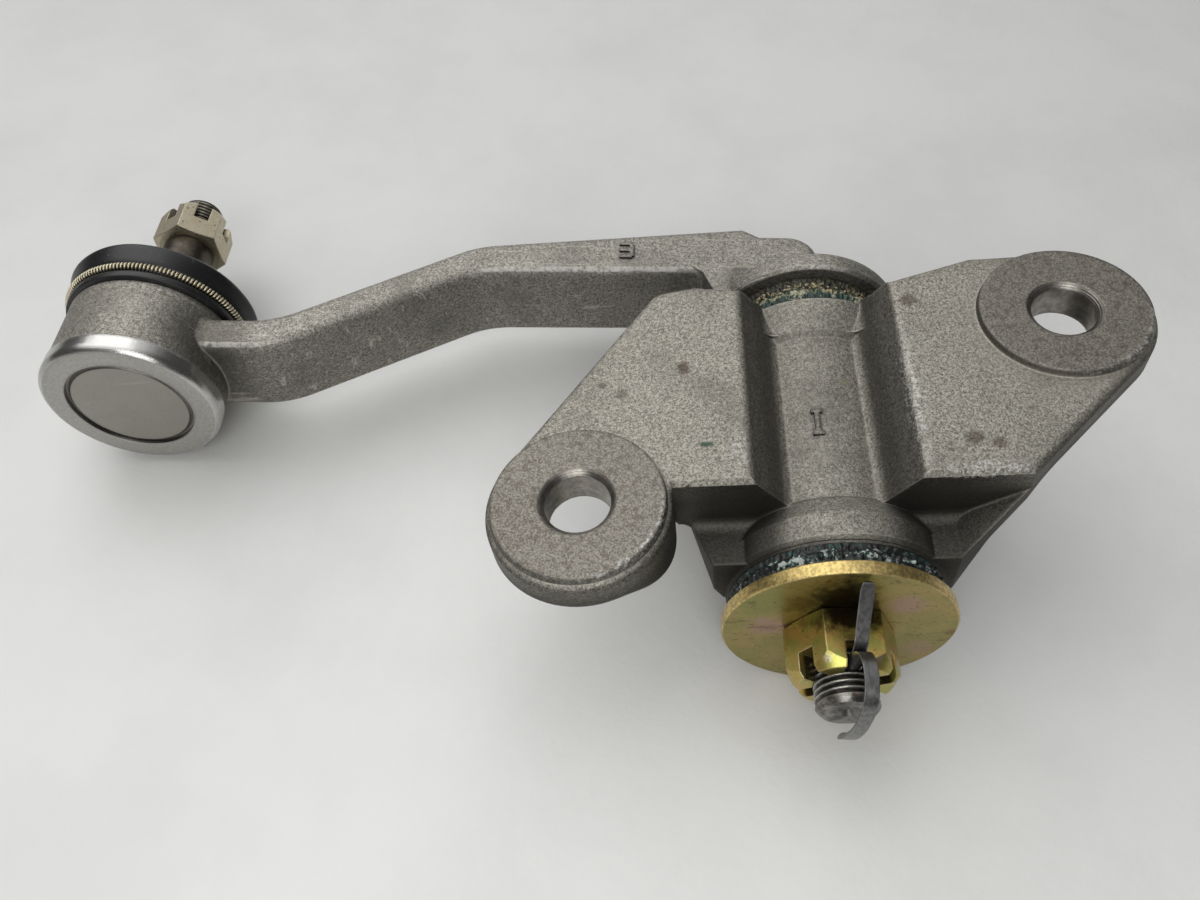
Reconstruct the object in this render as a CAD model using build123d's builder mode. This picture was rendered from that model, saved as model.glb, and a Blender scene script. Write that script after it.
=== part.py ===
from build123d import *
import math
import os

# Steering idler arm of a light truck, in millimetres.
# The origin lies midway between the two frame bolts, on the plane of the boss faces.
# The boss faces look along -Y, towards the frame rail. The pivot axis is parallel to Z:
# the nut and washer are at its lower end, the swinging arm is at its upper end.

os.makedirs("parts", exist_ok=True)

# Clearances
running_gap = 0.05
axial_gap = 0.1
loose_gap = 0.3
overshoot = 1.0
chamfer_angle = 45.0

# Frame bolts and their bosses
bolt_half_x = 55.7
bolt_half_z = 24.0
bolt_bore_d = 14.5
bolt_chamfer = 1.2
boss_d = 38.8
boss_raise = 1.8
boss_draft_angle = 14.0
boss_rim = 1.1

# Wings of the bracket
wing_t = 7.4
wing_edge_r = 2.0
wing_top_z = 38.5
wing_low_z = -19.6
left_shoulder_x = -39.0
left_shoulder_rise = 1.8
left_shoulder_r = 5.0
heel_r = 2.0
right_shoulder_x = 38.0
right_toe_x = 40.5
root_back_x = 45.0
root_waist_x = 32.5
root_waist_y = 18.5
root_tube_x = 25.2

# Channel that clears the frame rail
channel_half_x = 18.4
channel_floor_half_x = 9.8
ridge_r = 2.4
floor_r = 5.0
root_back_r = 8.0
root_waist_r = 6.0

# Pocket under the wings and the gussets behind it
gusset_front_y = 18.0
web_bend_x = 26.0
web_toe_x = 45.0
web_toe_y = 5.5
pocket_ridge = 1.2
left_gusset_x = -32.0
left_gusset_low_x = -27.4
right_gusset_low_x = 26.0
gusset_low_z = -30.6
pocket_r = 3.0

# Pivot tube
pivot_y = 32.9
tube_r = 22.3
tube_bore_r = 15.5
tube_top_z = 39.0
tube_low_z = -31.3
top_collar_raise = 3.9
top_collar_h = 9.0
top_collar_slope = 1.3
top_collar_cone = 2.7
collar_fill_share = 0.5
collar_fill_r = 4.0
low_collar_raise = 3.4
low_collar_top_z = -18.4
low_collar_low_z = -24.4
low_collar_lip = 0.9
spigot_raise = 2.5
lip_sector_low_z = -30.8
lip_sector_half_angle = 52.0
tube_edge = 0.8

# Raised bar mark on the channel floor
mark_x = -1.9
mark_z = 2.2
mark_w = 2.6
mark_h = 6.4
mark_stroke = 1.2
mark_raise = 0.6

# Bushes, thrust washers and seals on the pivot
bush_l = 22.0
bush_flange_r = 18.4
bush_flange_t = 2.6
thrust_r = 17.4
thrust_t = 2.4
seal_inner_r = 19.0
upper_seal_r = 22.2
lower_seal_r = 24.2
seal_groove = 1.2
seal_groove_shares = (0.4, 0.6, 0.8)

# Pivot shaft and washer
shaft_r = 12.5
shaft_press_r = 12.0
shaft_top_z = 59.5
shaft_edge = 0.8
pivot_thread_r = 7.0
pivot_thread_l = 21.2
thread_chamfer = 1.0
pivot_washer_r = 26.2
pivot_washer_t = 3.3
pivot_washer_edge = 0.4

# Pivot nut
pivot_nut_af = 22.0
pivot_nut_h = 13.3
pivot_nut_turn = 9.5
pivot_slot_w = 4.4
pivot_slot_depth = 5.6
nut_sides = 6
nut_crown_ratio = 0.93
nut_foot_chamfer = 0.6
nut_crown_chamfer = 3.2

# Cotter pin
cotter_r = 1.5
cotter_hole_r = 1.8
cotter_eye_r = 1.6
cotter_exit = 11.6
cotter_upper_leg = [(15.5, 1.0), (24.5, 8.2)]
cotter_lower_leg = [(15.1, -2.0), (18.2, -7.6), (12.8, -15.0), (-7.0, -12.6)]

# Arm bar
arm_length = 178.0
arm_yaw = 6.3
arm_w = 25.0
arm_edge_r = 3.0
arm_peak = (16.0, 79.8)
arm_seat = (11.5, 76.9)
arm_end_s = -4.2
arm_end_r = 8.0
arm_knee_top = (91.0, 70.8)
arm_knee_low = (88.8, 60.3)
arm_foot_reach_top = 35.5
arm_foot_reach_low = 37.0
arm_foot_top_z = 40.9
arm_foot_low_z = 30.4
arm_root_s = 24.0
arm_root_low_z = 61.8
arm_bend_r = 26.0
arm_root_r = 7.0
neck_start_s = 33.0
neck_bend_s = 28.0
neck_end_s = 15.0
neck_top_z = 73.0
neck_r = 9.0
foot_web_r = 7.0
foot_web_l = 3.0
arm_mark_s = 47.6
arm_mark_z = 68.6
arm_mark_w = 3.4
arm_mark_h = 5.0

# Hub of the arm
hub_low_z = 49.8
hub_r = 25.7
hub_rim_z = 55.2
hub_rim_edge_r = 2.5
hub_crown_r = 13.0
hub_crown_z = 62.6
hub_crown_edge_r = 4.0
hub_spigot_r = 17.4
hub_edge = 0.8

# Ball joint housing
lip_z = 19.6
lip_t = 1.2
lip_inner_r = 16.0
lip_edge_r = 1.8
ring_r = 22.7
ring_h = 4.7
housing_r = 22.3
housing_top_z = 42.4
housing_neck_r = 20.6
housing_neck_h = 6.1
throat_low_r = 11.2
throat_top_r = 12.6
seat_r = 16.0

# End cap and disc spring
cap_r = 18.2
cap_t = 2.8
cap_face_r = 15.5
cap_face_raise = 0.8
spring_t = 2.1
spring_hole_r = 7.0

# Ball stud and its seats
ball_z = 37.0
ball_r = 12.7
ball_flat_h = 9.0
seat_top_h = 8.5
seat_mouth_h = 7.0
stud_waist_r = 7.0
stud_land_r = 8.0
stud_land_low_z = 55.0
stud_land_top_z = 63.0
taper_top_r = 6.95
taper_low_r = 7.75
taper_top_z = 77.6
stud_thread_r = 6.0
stud_top_z = 94.3
stud_hole_r = 1.6

# Nut of the ball stud
stud_nut_af = 18.0
stud_nut_h = 12.6
stud_nut_turn = 35.2
stud_slot_w = 4.0
stud_slot_depth = 6.4

# Dust boot and its spring ring
boot_wall = 2.0
boot_lip_r = 23.5
boot_lip_h = 4.0
boot_groove_r = 22.4
boot_rim_r = 25.0
boot_rim_z = 53.7
boot_crown_z = 58.8
boot_neck_r = 10.8
spring_wire_r = 1.05

# Places that follow from the sizes above
left_bolt = (-bolt_half_x, -bolt_half_z)
right_bolt = (bolt_half_x, bolt_half_z)
wing_r = boss_d / 2 + boss_rim
wing_back_y = boss_raise + wing_t
top_collar_r = tube_r + top_collar_raise
low_collar_r = tube_r + low_collar_raise
spigot_r = tube_r + spigot_raise
pivot_axis = Axis((0, pivot_y, 0), (0, 0, 1))
pivot_profile = Plane(origin=(0, pivot_y, 0), x_dir=(1, 0, 0), z_dir=(0, -1, 0))
yaw = math.radians(arm_yaw)
arm_dir = Vector(-math.cos(yaw), -math.sin(yaw), 0)
arm_side = Vector(-math.sin(yaw), math.cos(yaw), 0)
arm_elevation = Plane(origin=(0, pivot_y, 0), x_dir=arm_dir, z_dir=arm_side)
arm_plan = Plane(origin=(0, pivot_y, 0), x_dir=arm_dir, z_dir=(0, 0, 1))
ball_x = arm_length * arm_dir.X
ball_y = pivot_y + arm_length * arm_dir.Y
ball_axis = Axis((ball_x, ball_y, 0), (0, 0, 1))
ball_profile = Plane(origin=(ball_x, ball_y, 0), x_dir=(1, 0, 0), z_dir=(0, -1, 0))
pivot_turn = math.radians(pivot_nut_turn)
cotter_dir = Vector(math.sin(pivot_turn), -math.cos(pivot_turn), 0)
stud_turn = math.radians(stud_nut_turn)
stud_corner_dir = Vector(math.cos(stud_turn), math.sin(stud_turn), 0)

upper_bush_face_z = tube_top_z + bush_flange_t
upper_thrust_z = upper_bush_face_z + axial_gap
hub_spigot_z = upper_thrust_z + thrust_t
lower_bush_face_z = tube_low_z - bush_flange_t
shaft_shoulder_z = lower_bush_face_z - axial_gap - thrust_t
pivot_nut_z = shaft_shoulder_z - pivot_washer_t
pivot_tip_z = shaft_shoulder_z - pivot_thread_l
cotter_z = pivot_nut_z - pivot_nut_h + pivot_slot_depth - cotter_hole_r
housing_neck_z = housing_top_z + housing_neck_h
seat_top_z = ball_z + seat_top_h
cap_low_z = lip_z + lip_t
spring_z = cap_low_z + cap_t
seat_low_z = spring_z + spring_t
stud_nut_z = taper_top_z + axial_gap
stud_hole_z = stud_nut_z + stud_nut_h - stud_slot_depth + stud_hole_r
boot_ring_z = housing_top_z + boot_lip_h + spring_wire_r


def tangent_point(outside, centre, radius, side):
    """Touching point of a line from outside on a circle, to its left (1) or right (-1)."""
    dx = centre[0] - outside[0]
    dz = centre[1] - outside[1]
    distance = math.hypot(dx, dz)
    reach = math.sqrt(distance**2 - radius**2)
    heading = math.atan2(dz, dx) + side * math.asin(radius / distance)
    return (outside[0] + reach * math.cos(heading), outside[1] + reach * math.sin(heading))


def facing_plane(y):
    """Upright plane at depth y that looks along -Y, with Z upwards."""
    return Plane(origin=(0, y, 0), x_dir=(1, 0, 0), z_dir=(0, -1, 0))


def sphere_point(radius, height):
    """Point of the ball joint's profile at a height above the ball centre."""
    return (math.sqrt(radius**2 - height**2), ball_z + height)


def export_piece(builder, node):
    """Label a finished sub-part and write its STEP file."""
    builder.part.label = node
    export_step(builder.part, "parts/" + node + ".step")


def ring(plane, axis, inner_r, outer_r, low_z, high_z):
    """Plain ring about an axis, between two heights."""
    with BuildPart() as body:
        with BuildSketch(plane):
            with BuildLine():
                Polyline(
                    (inner_r, low_z),
                    (outer_r, low_z),
                    (outer_r, high_z),
                    (inner_r, high_z),
                    close=True,
                )
            make_face()
        revolve(axis=axis)
    return body


def castle_nut(seat, across_flats, height, bore_r, slot_w, slot_depth):
    """Slotted hexagon nut that stands on the seat plane, a corner along its X direction."""
    corner_r = across_flats / math.sqrt(3)
    crown_r = across_flats / 2 * nut_crown_ratio
    profile = Plane(origin=seat.origin, x_dir=seat.x_dir, z_dir=seat.x_dir.cross(seat.z_dir))
    with BuildPart() as nut:
        with BuildSketch(seat):
            RegularPolygon(across_flats / 2, nut_sides, major_radius=False)
            Circle(bore_r, mode=Mode.SUBTRACT)
        extrude(amount=height)
        with BuildSketch(profile):
            with BuildLine():
                Polyline(
                    (0, 0),
                    (crown_r, 0),
                    (corner_r, nut_foot_chamfer),
                    (corner_r, height - nut_crown_chamfer),
                    (crown_r, height),
                    (0, height),
                    close=True,
                )
            make_face()
        revolve(axis=Axis(seat.origin, seat.z_dir), mode=Mode.INTERSECT)
        with BuildSketch(seat.offset(height)):
            for side in range(nut_sides // 2):
                Rectangle(2 * across_flats, slot_w, rotation=(side + 1 / 2) * 360 / nut_sides)
        extrude(amount=-slot_depth, mode=Mode.SUBTRACT)
    return nut


# Bracket: forged wings on a pivot tube
left_shoulder = (left_shoulder_x, wing_top_z)
left_touch = tangent_point(left_shoulder, left_bolt, wing_r, -1)
right_toe = (right_toe_x, wing_low_z)
right_touch = tangent_point(right_toe, right_bolt, wing_r, -1)
floor_y = pivot_y - math.sqrt(tube_r**2 - channel_floor_half_x**2)
left_notch = (left_bolt[0] + wing_r, wing_low_z)
section_low_z = left_bolt[1] - wing_r
collar_low_z = tube_top_z - top_collar_h


def wall_point(share):
    """Point of the channel's wall in plan, a share of the way from its floor to its ridge."""
    across = channel_floor_half_x + share * (channel_half_x - channel_floor_half_x)
    return (across, floor_y + share * (boss_raise - floor_y))


def wall_share(radius):
    """Share of the way up the channel's wall at which a circle about the pivot meets it."""
    run = channel_half_x - channel_floor_half_x
    rise = floor_y - boss_raise
    square = run**2 + rise**2
    middle = channel_floor_half_x * run + (pivot_y - floor_y) * rise
    return (math.sqrt(middle**2 + square * (radius**2 - tube_r**2)) - middle) / square


collar_meet = wall_point(wall_share(top_collar_r - top_collar_cone))

# Pocket under the wings, in front of the gussets
with BuildPart() as pocket:
    with BuildSketch(Plane.YZ.offset(left_bolt[0])) as pocket_side:
        with BuildLine():
            Polyline(
                (-overshoot, section_low_z),
                (-overshoot, wing_low_z),
                (gusset_front_y, wing_low_z),
                (gusset_front_y, section_low_z),
                close=True,
            )
        make_face()
        fillet(pocket_side.vertices().sort_by_distance((gusset_front_y, wing_low_z, 0))[0], pocket_r)
    extrude(amount=web_toe_x - left_bolt[0])
    with BuildSketch(Plane.XY.offset(section_low_z)):
        with BuildLine():
            Polyline(
                (left_bolt[0], -overshoot),
                (left_bolt[0], gusset_front_y),
                (web_bend_x, gusset_front_y),
                (web_toe_x, web_toe_y),
                (web_toe_x, -overshoot),
                close=True,
            )
        make_face()
    extrude(amount=2 * bolt_half_z, mode=Mode.INTERSECT)
    with BuildSketch(facing_plane(boss_raise - overshoot)):
        with BuildLine():
            Polyline(
                (left_bolt[0], section_low_z),
                (left_bolt[0], wing_low_z + pocket_ridge + overshoot),
                (web_toe_x, wing_low_z + pocket_ridge + overshoot),
                (web_toe_x, section_low_z),
                close=True,
            )
        make_face()
    extrude(amount=-pocket_ridge - overshoot, taper=chamfer_angle)
    with BuildSketch(facing_plane(-overshoot)):
        with Locations(left_bolt):
            Circle(wing_r)
    extrude(amount=-root_back_x, mode=Mode.SUBTRACT)

with BuildPart() as bracket:
    with BuildSketch(facing_plane(boss_raise)) as outline:
        with BuildLine():
            Polyline(
                (0, wing_top_z),
                (-channel_half_x, wing_top_z),
                (left_shoulder_x + 2 * left_shoulder_r, wing_top_z + left_shoulder_rise),
                left_shoulder,
                left_touch,
                left_bolt,
                (left_gusset_x, wing_low_z),
                (left_gusset_low_x, gusset_low_z),
                (0, gusset_low_z),
                close=True,
            )
        make_face()
        with BuildLine():
            Polyline(
                (0, wing_top_z),
                (channel_half_x, wing_top_z),
                (right_shoulder_x, bolt_half_z + wing_r),
                (bolt_half_x, bolt_half_z + wing_r),
                right_bolt,
                right_touch,
                right_toe,
                (right_gusset_low_x, gusset_low_z),
                (0, gusset_low_z),
                close=True,
            )
        make_face()
        with Locations(left_bolt, right_bolt):
            Circle(wing_r)
        fillet(outline.vertices().sort_by_distance((*left_shoulder, 0))[0], left_shoulder_r)
        fillet(outline.vertices().sort_by_distance((*left_notch, 0))[0], heel_r)
    extrude(amount=boss_raise - pivot_y)
    fillet(bracket.faces().sort_by(Axis.Y)[0].outer_wire().edges(), wing_edge_r)

    # Plan section of the wings and the channel
    with BuildSketch(Plane.XY.offset(section_low_z)) as section:
        with BuildLine():
            right_edge = Polyline(
                (0, floor_y),
                (channel_floor_half_x, floor_y),
                (channel_half_x, boss_raise),
                (bolt_half_x + 2 * wing_r, boss_raise),
                (bolt_half_x + 2 * wing_r, wing_back_y),
                (root_back_x, wing_back_y),
                (root_waist_x, root_waist_y),
                (root_tube_x, pivot_y),
                (0, pivot_y),
            )
            mirror(right_edge, about=Plane.YZ)
        make_face()
        for side in (-1, 1):
            for corner_x, corner_y, corner_r in (
                (channel_half_x, boss_raise, ridge_r),
                (channel_floor_half_x, floor_y, floor_r),
                (root_back_x, wing_back_y, root_back_r),
                (root_waist_x, root_waist_y, root_waist_r),
            ):
                corner = section.vertices().sort_by_distance((side * corner_x, corner_y, 0))[0]
                fillet(corner, corner_r)
    extrude(amount=2 * (bolt_half_z + wing_r), mode=Mode.INTERSECT)
    add(pocket.part, mode=Mode.SUBTRACT)

    # Tube with its collars
    with BuildSketch(pivot_profile):
        with BuildLine():
            Polyline(
                (tube_bore_r, tube_low_z),
                (spigot_r - tube_edge, tube_low_z),
                (spigot_r, tube_low_z + tube_edge),
                (spigot_r, low_collar_low_z),
                (low_collar_r, low_collar_low_z),
                (tube_r + low_collar_lip, low_collar_top_z - low_collar_lip),
                (tube_r, low_collar_top_z),
                (tube_r, collar_low_z - top_collar_slope),
                (top_collar_r - top_collar_cone, collar_low_z),
                (top_collar_r, tube_top_z - tube_edge),
                (top_collar_r - tube_edge, tube_top_z),
                (tube_bore_r, tube_top_z),
                close=True,
            )
        make_face()
    revolve(axis=pivot_axis)

    # Fill that blends the upper collar into the walls of the channel
    with BuildSketch(Plane.XY.offset(collar_low_z)) as collar_fill:
        with BuildLine():
            ThreePointArc(
                (-collar_meet[0], collar_meet[1]),
                (0, pivot_y - top_collar_r + top_collar_cone),
                collar_meet,
            )
            fill_edge = Polyline(collar_meet, wall_point(collar_fill_share), (root_tube_x, gusset_front_y))
            mirror(fill_edge, about=Plane.YZ)
            Line((-root_tube_x, gusset_front_y), (root_tube_x, gusset_front_y))
        make_face()
        for side in (-1, 1):
            corner = collar_fill.vertices().sort_by_distance((side * collar_meet[0], collar_meet[1], 0))[0]
            fillet(corner, collar_fill_r)
    extrude(amount=tube_top_z - collar_low_z)

    # Bore of the tube, and the space above it
    with BuildSketch(pivot_profile):
        with BuildLine():
            Polyline(
                (0, tube_low_z),
                (tube_bore_r, tube_low_z),
                (tube_bore_r, tube_top_z),
                (top_collar_r, tube_top_z),
                (top_collar_r, right_bolt[1] + wing_r),
                (0, right_bolt[1] + wing_r),
                close=True,
            )
        make_face()
    revolve(axis=pivot_axis, mode=Mode.SUBTRACT)

    # Lip over the front of the spigot
    lip_start = math.radians(-90 - lip_sector_half_angle)
    lip_x_dir = Vector(math.cos(lip_start), math.sin(lip_start), 0)
    lip_plane = Plane(origin=(0, pivot_y, 0), x_dir=lip_x_dir, z_dir=lip_x_dir.cross(Vector(0, 0, 1)))
    with BuildSketch(lip_plane):
        with BuildLine():
            Polyline(
                (tube_r, lip_sector_low_z),
                (low_collar_r - tube_edge, lip_sector_low_z),
                (low_collar_r, lip_sector_low_z + tube_edge),
                (low_collar_r, low_collar_low_z),
                (tube_r, low_collar_low_z),
                close=True,
            )
        make_face()
    revolve(axis=pivot_axis, revolution_arc=2 * lip_sector_half_angle)

    # Bosses and bolt bores
    with BuildSketch(facing_plane(boss_raise)):
        with Locations(left_bolt, right_bolt):
            Circle(boss_d / 2)
    extrude(amount=boss_raise, taper=boss_draft_angle)
    with BuildSketch(facing_plane(0)):
        with Locations(left_bolt, right_bolt):
            Circle(bolt_bore_d / 2)
    extrude(amount=-wing_back_y - overshoot, mode=Mode.SUBTRACT)
    with BuildSketch(facing_plane(0)):
        with Locations(left_bolt, right_bolt):
            Circle(bolt_bore_d / 2 + bolt_chamfer)
    extrude(amount=-bolt_chamfer, taper=chamfer_angle, mode=Mode.SUBTRACT)

    # Bar mark
    with BuildSketch(facing_plane(pivot_y - tube_r - mark_raise)):
        with Locations((mark_x, mark_z)):
            Rectangle(mark_stroke, mark_h)
        with Locations((mark_x, mark_z - mark_h / 2), (mark_x, mark_z + mark_h / 2)):
            Rectangle(mark_w, mark_stroke)
    extrude(amount=-mark_raise - overshoot)
export_piece(bracket, "bracket")

# Flanged bushes in the tube
for node, face_z, flange_z, sleeve_z in (
    ("upper_bush", tube_top_z, upper_bush_face_z, tube_top_z - bush_l),
    ("lower_bush", tube_low_z, lower_bush_face_z, tube_low_z + bush_l),
):
    with BuildPart() as bush:
        with BuildSketch(pivot_profile):
            with BuildLine():
                Polyline(
                    (shaft_r + running_gap, sleeve_z),
                    (tube_bore_r, sleeve_z),
                    (tube_bore_r, face_z),
                    (bush_flange_r, face_z),
                    (bush_flange_r, flange_z),
                    (shaft_r + running_gap, flange_z),
                    close=True,
                )
            make_face()
        revolve(axis=pivot_axis)
    export_piece(bush, node)

# Seals at the ends of the tube
for node, outer_r, base_z, tip_z in (
    ("upper_seal", upper_seal_r, tube_top_z, hub_low_z - axial_gap),
    ("lower_seal", lower_seal_r, tube_low_z, shaft_shoulder_z + axial_gap),
):
    groove_base_z, groove_mid_z, groove_tip_z = [
        base_z + (tip_z - base_z) * share for share in seal_groove_shares
    ]
    with BuildPart() as seal:
        with BuildSketch(pivot_profile):
            with BuildLine():
                Polyline(
                    (seal_inner_r, base_z),
                    (outer_r, base_z),
                    (outer_r, groove_base_z),
                    (outer_r - seal_groove, groove_mid_z),
                    (outer_r, groove_tip_z),
                    (outer_r, tip_z),
                    (seal_inner_r, tip_z),
                    close=True,
                )
            make_face()
        revolve(axis=pivot_axis)
    export_piece(seal, node)

# Thrust washers
for node, low_z in (("upper_thrust_washer", upper_thrust_z), ("lower_thrust_washer", shaft_shoulder_z)):
    washer = ring(pivot_profile, pivot_axis, shaft_r + loose_gap, thrust_r, low_z, low_z + thrust_t)
    export_piece(washer, node)

# Pivot shaft
with BuildPart() as pivot_shaft:
    with BuildSketch(pivot_profile):
        with BuildLine():
            Polyline(
                (0, pivot_tip_z),
                (pivot_thread_r - thread_chamfer, pivot_tip_z),
                (pivot_thread_r, pivot_tip_z + thread_chamfer),
                (pivot_thread_r, shaft_shoulder_z),
                (shaft_r, shaft_shoulder_z),
                (shaft_r, hub_spigot_z),
                (shaft_press_r, hub_spigot_z),
                (shaft_press_r, shaft_top_z - shaft_edge),
                (shaft_press_r - shaft_edge, shaft_top_z),
                (0, shaft_top_z),
                close=True,
            )
        make_face()
    revolve(axis=pivot_axis)
    with BuildSketch(Plane(origin=(0, pivot_y, cotter_z), x_dir=(0, 0, 1), z_dir=cotter_dir)):
        Circle(cotter_hole_r)
    extrude(amount=2 * pivot_thread_r, both=True, mode=Mode.SUBTRACT)
export_piece(pivot_shaft, "pivot_shaft")

# Pivot washer
with BuildPart() as pivot_washer:
    with BuildSketch(Plane(origin=(0, pivot_y, pivot_nut_z), x_dir=(1, 0, 0), z_dir=(0, 0, 1))):
        Circle(pivot_washer_r)
        Circle(pivot_thread_r + running_gap, mode=Mode.SUBTRACT)
    extrude(amount=pivot_washer_t)
    rims = pivot_washer.edges().filter_by(GeomType.CIRCLE).sort_by(SortBy.RADIUS)[-2:]
    chamfer(rims, pivot_washer_edge)
export_piece(pivot_washer, "pivot_washer")

# Pivot nut
pivot_nut_seat = Plane(
    origin=(0, pivot_y, pivot_nut_z),
    x_dir=(math.cos(pivot_turn), math.sin(pivot_turn), 0),
    z_dir=(0, 0, -1),
)
pivot_nut = castle_nut(
    pivot_nut_seat,
    pivot_nut_af,
    pivot_nut_h,
    pivot_thread_r + running_gap,
    pivot_slot_w,
    pivot_slot_depth,
)
export_piece(pivot_nut, "pivot_nut")

# Cotter pin through the slots of the pivot nut
cotter_plane = Plane(
    origin=(0, pivot_y, cotter_z),
    x_dir=cotter_dir,
    z_dir=cotter_dir.cross(Vector(0, 0, 1)),
)
eye_centre = -pivot_nut_af / 2 - cotter_eye_r - cotter_r - loose_gap
eye_point = cotter_plane.from_local_coords((eye_centre, 0, 0))
section_plane = Plane(origin=eye_point, x_dir=cotter_plane.z_dir, z_dir=cotter_dir)
with BuildPart() as cotter_pin:
    for side, bend in ((1, cotter_upper_leg), (-1, cotter_lower_leg)):
        with BuildLine(cotter_plane) as leg:
            stretch = Line((eye_centre, 0), (cotter_exit, 0))
            for corner in bend:
                stretch = TangentArc(stretch @ 1, cotter_plane.from_local_coords(corner), tangent=stretch % 1)
        with BuildSketch(section_plane) as half_round:
            with BuildLine():
                Line((-cotter_r, 0), (cotter_r, 0))
                ThreePointArc((-cotter_r, 0), (0, -side * cotter_r), (cotter_r, 0))
            make_face()
        sweep(path=leg.wires()[0])
    eye_plane = Plane(origin=section_plane.origin, x_dir=cotter_dir, z_dir=(0, 0, 1))
    with BuildSketch(eye_plane):
        with BuildLine():
            Line((cotter_eye_r, -cotter_r), (cotter_eye_r, cotter_r))
            ThreePointArc((cotter_eye_r, -cotter_r), (cotter_eye_r + cotter_r, 0), (cotter_eye_r, cotter_r))
        make_face()
    revolve(axis=Axis(section_plane.origin, cotter_plane.z_dir))
export_piece(cotter_pin, "cotter_pin")

# Arm: bar with a hub at one end and the ball joint housing at the other
bar_end_s = arm_length - seat_r - lip_edge_r
arm_foot_top = (arm_length - arm_foot_reach_top, arm_foot_top_z)
arm_foot_low = (arm_length - arm_foot_reach_low, arm_foot_low_z)
neck_low_z = hub_low_z + loose_gap
neck_rim_z = hub_rim_z - loose_gap


def along_arm(point):
    """Distance of a point from the pivot axis, along the arm."""
    return arm_elevation.to_local_coords(point).X


def waisted_plan(centre_s, radius, inner_s, bend_r):
    """Plan outline of a round end and the bar that leaves it, with filleted corners."""
    corner_reach = math.sqrt(radius**2 - (arm_w / 2) ** 2)
    corner_s = centre_s + math.copysign(corner_reach, inner_s - centre_s)
    with BuildSketch(arm_plan) as plan:
        with Locations((centre_s, 0)):
            Circle(radius)
        with Locations(((centre_s + inner_s) / 2, 0)):
            Rectangle(abs(inner_s - centre_s), arm_w)
        for side in (-1, 1):
            corner = plan.vertices().sort_by_distance((corner_s, side * arm_w / 2, 0))[0]
            fillet(corner, bend_r)
    return plan.sketch


# Neck between the bar and the rim of the hub
with BuildPart() as neck:
    with BuildSketch(arm_elevation):
        with BuildLine():
            Polyline(
                (neck_end_s, neck_low_z),
                (arm_root_s, neck_low_z),
                (neck_bend_s, arm_root_low_z - hub_edge),
                (neck_start_s, arm_root_low_z + arm_edge_r),
                (neck_start_s, neck_top_z),
                (neck_end_s, neck_rim_z),
                close=True,
            )
        make_face()
    extrude(amount=hub_r, both=True)
    extrude(waisted_plan(0, hub_r - loose_gap, neck_start_s, neck_r), amount=arm_peak[1], mode=Mode.INTERSECT)

# Web between the bar and the ball joint housing
with BuildPart() as foot_web:
    foot_start_s = arm_length - housing_r - foot_web_l
    extrude(waisted_plan(arm_length, housing_r - loose_gap, foot_start_s, foot_web_r), amount=arm_foot_top_z)
    with BuildSketch(arm_plan.offset(arm_foot_low_z)):
        with Locations((arm_length, 0)):
            Rectangle(arm_length, arm_length)
    extrude(amount=arm_foot_top_z - arm_foot_low_z, mode=Mode.INTERSECT)
    fillet(foot_web.faces().filter_by(Axis.Z).edges(), arm_edge_r - running_gap)

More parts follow.
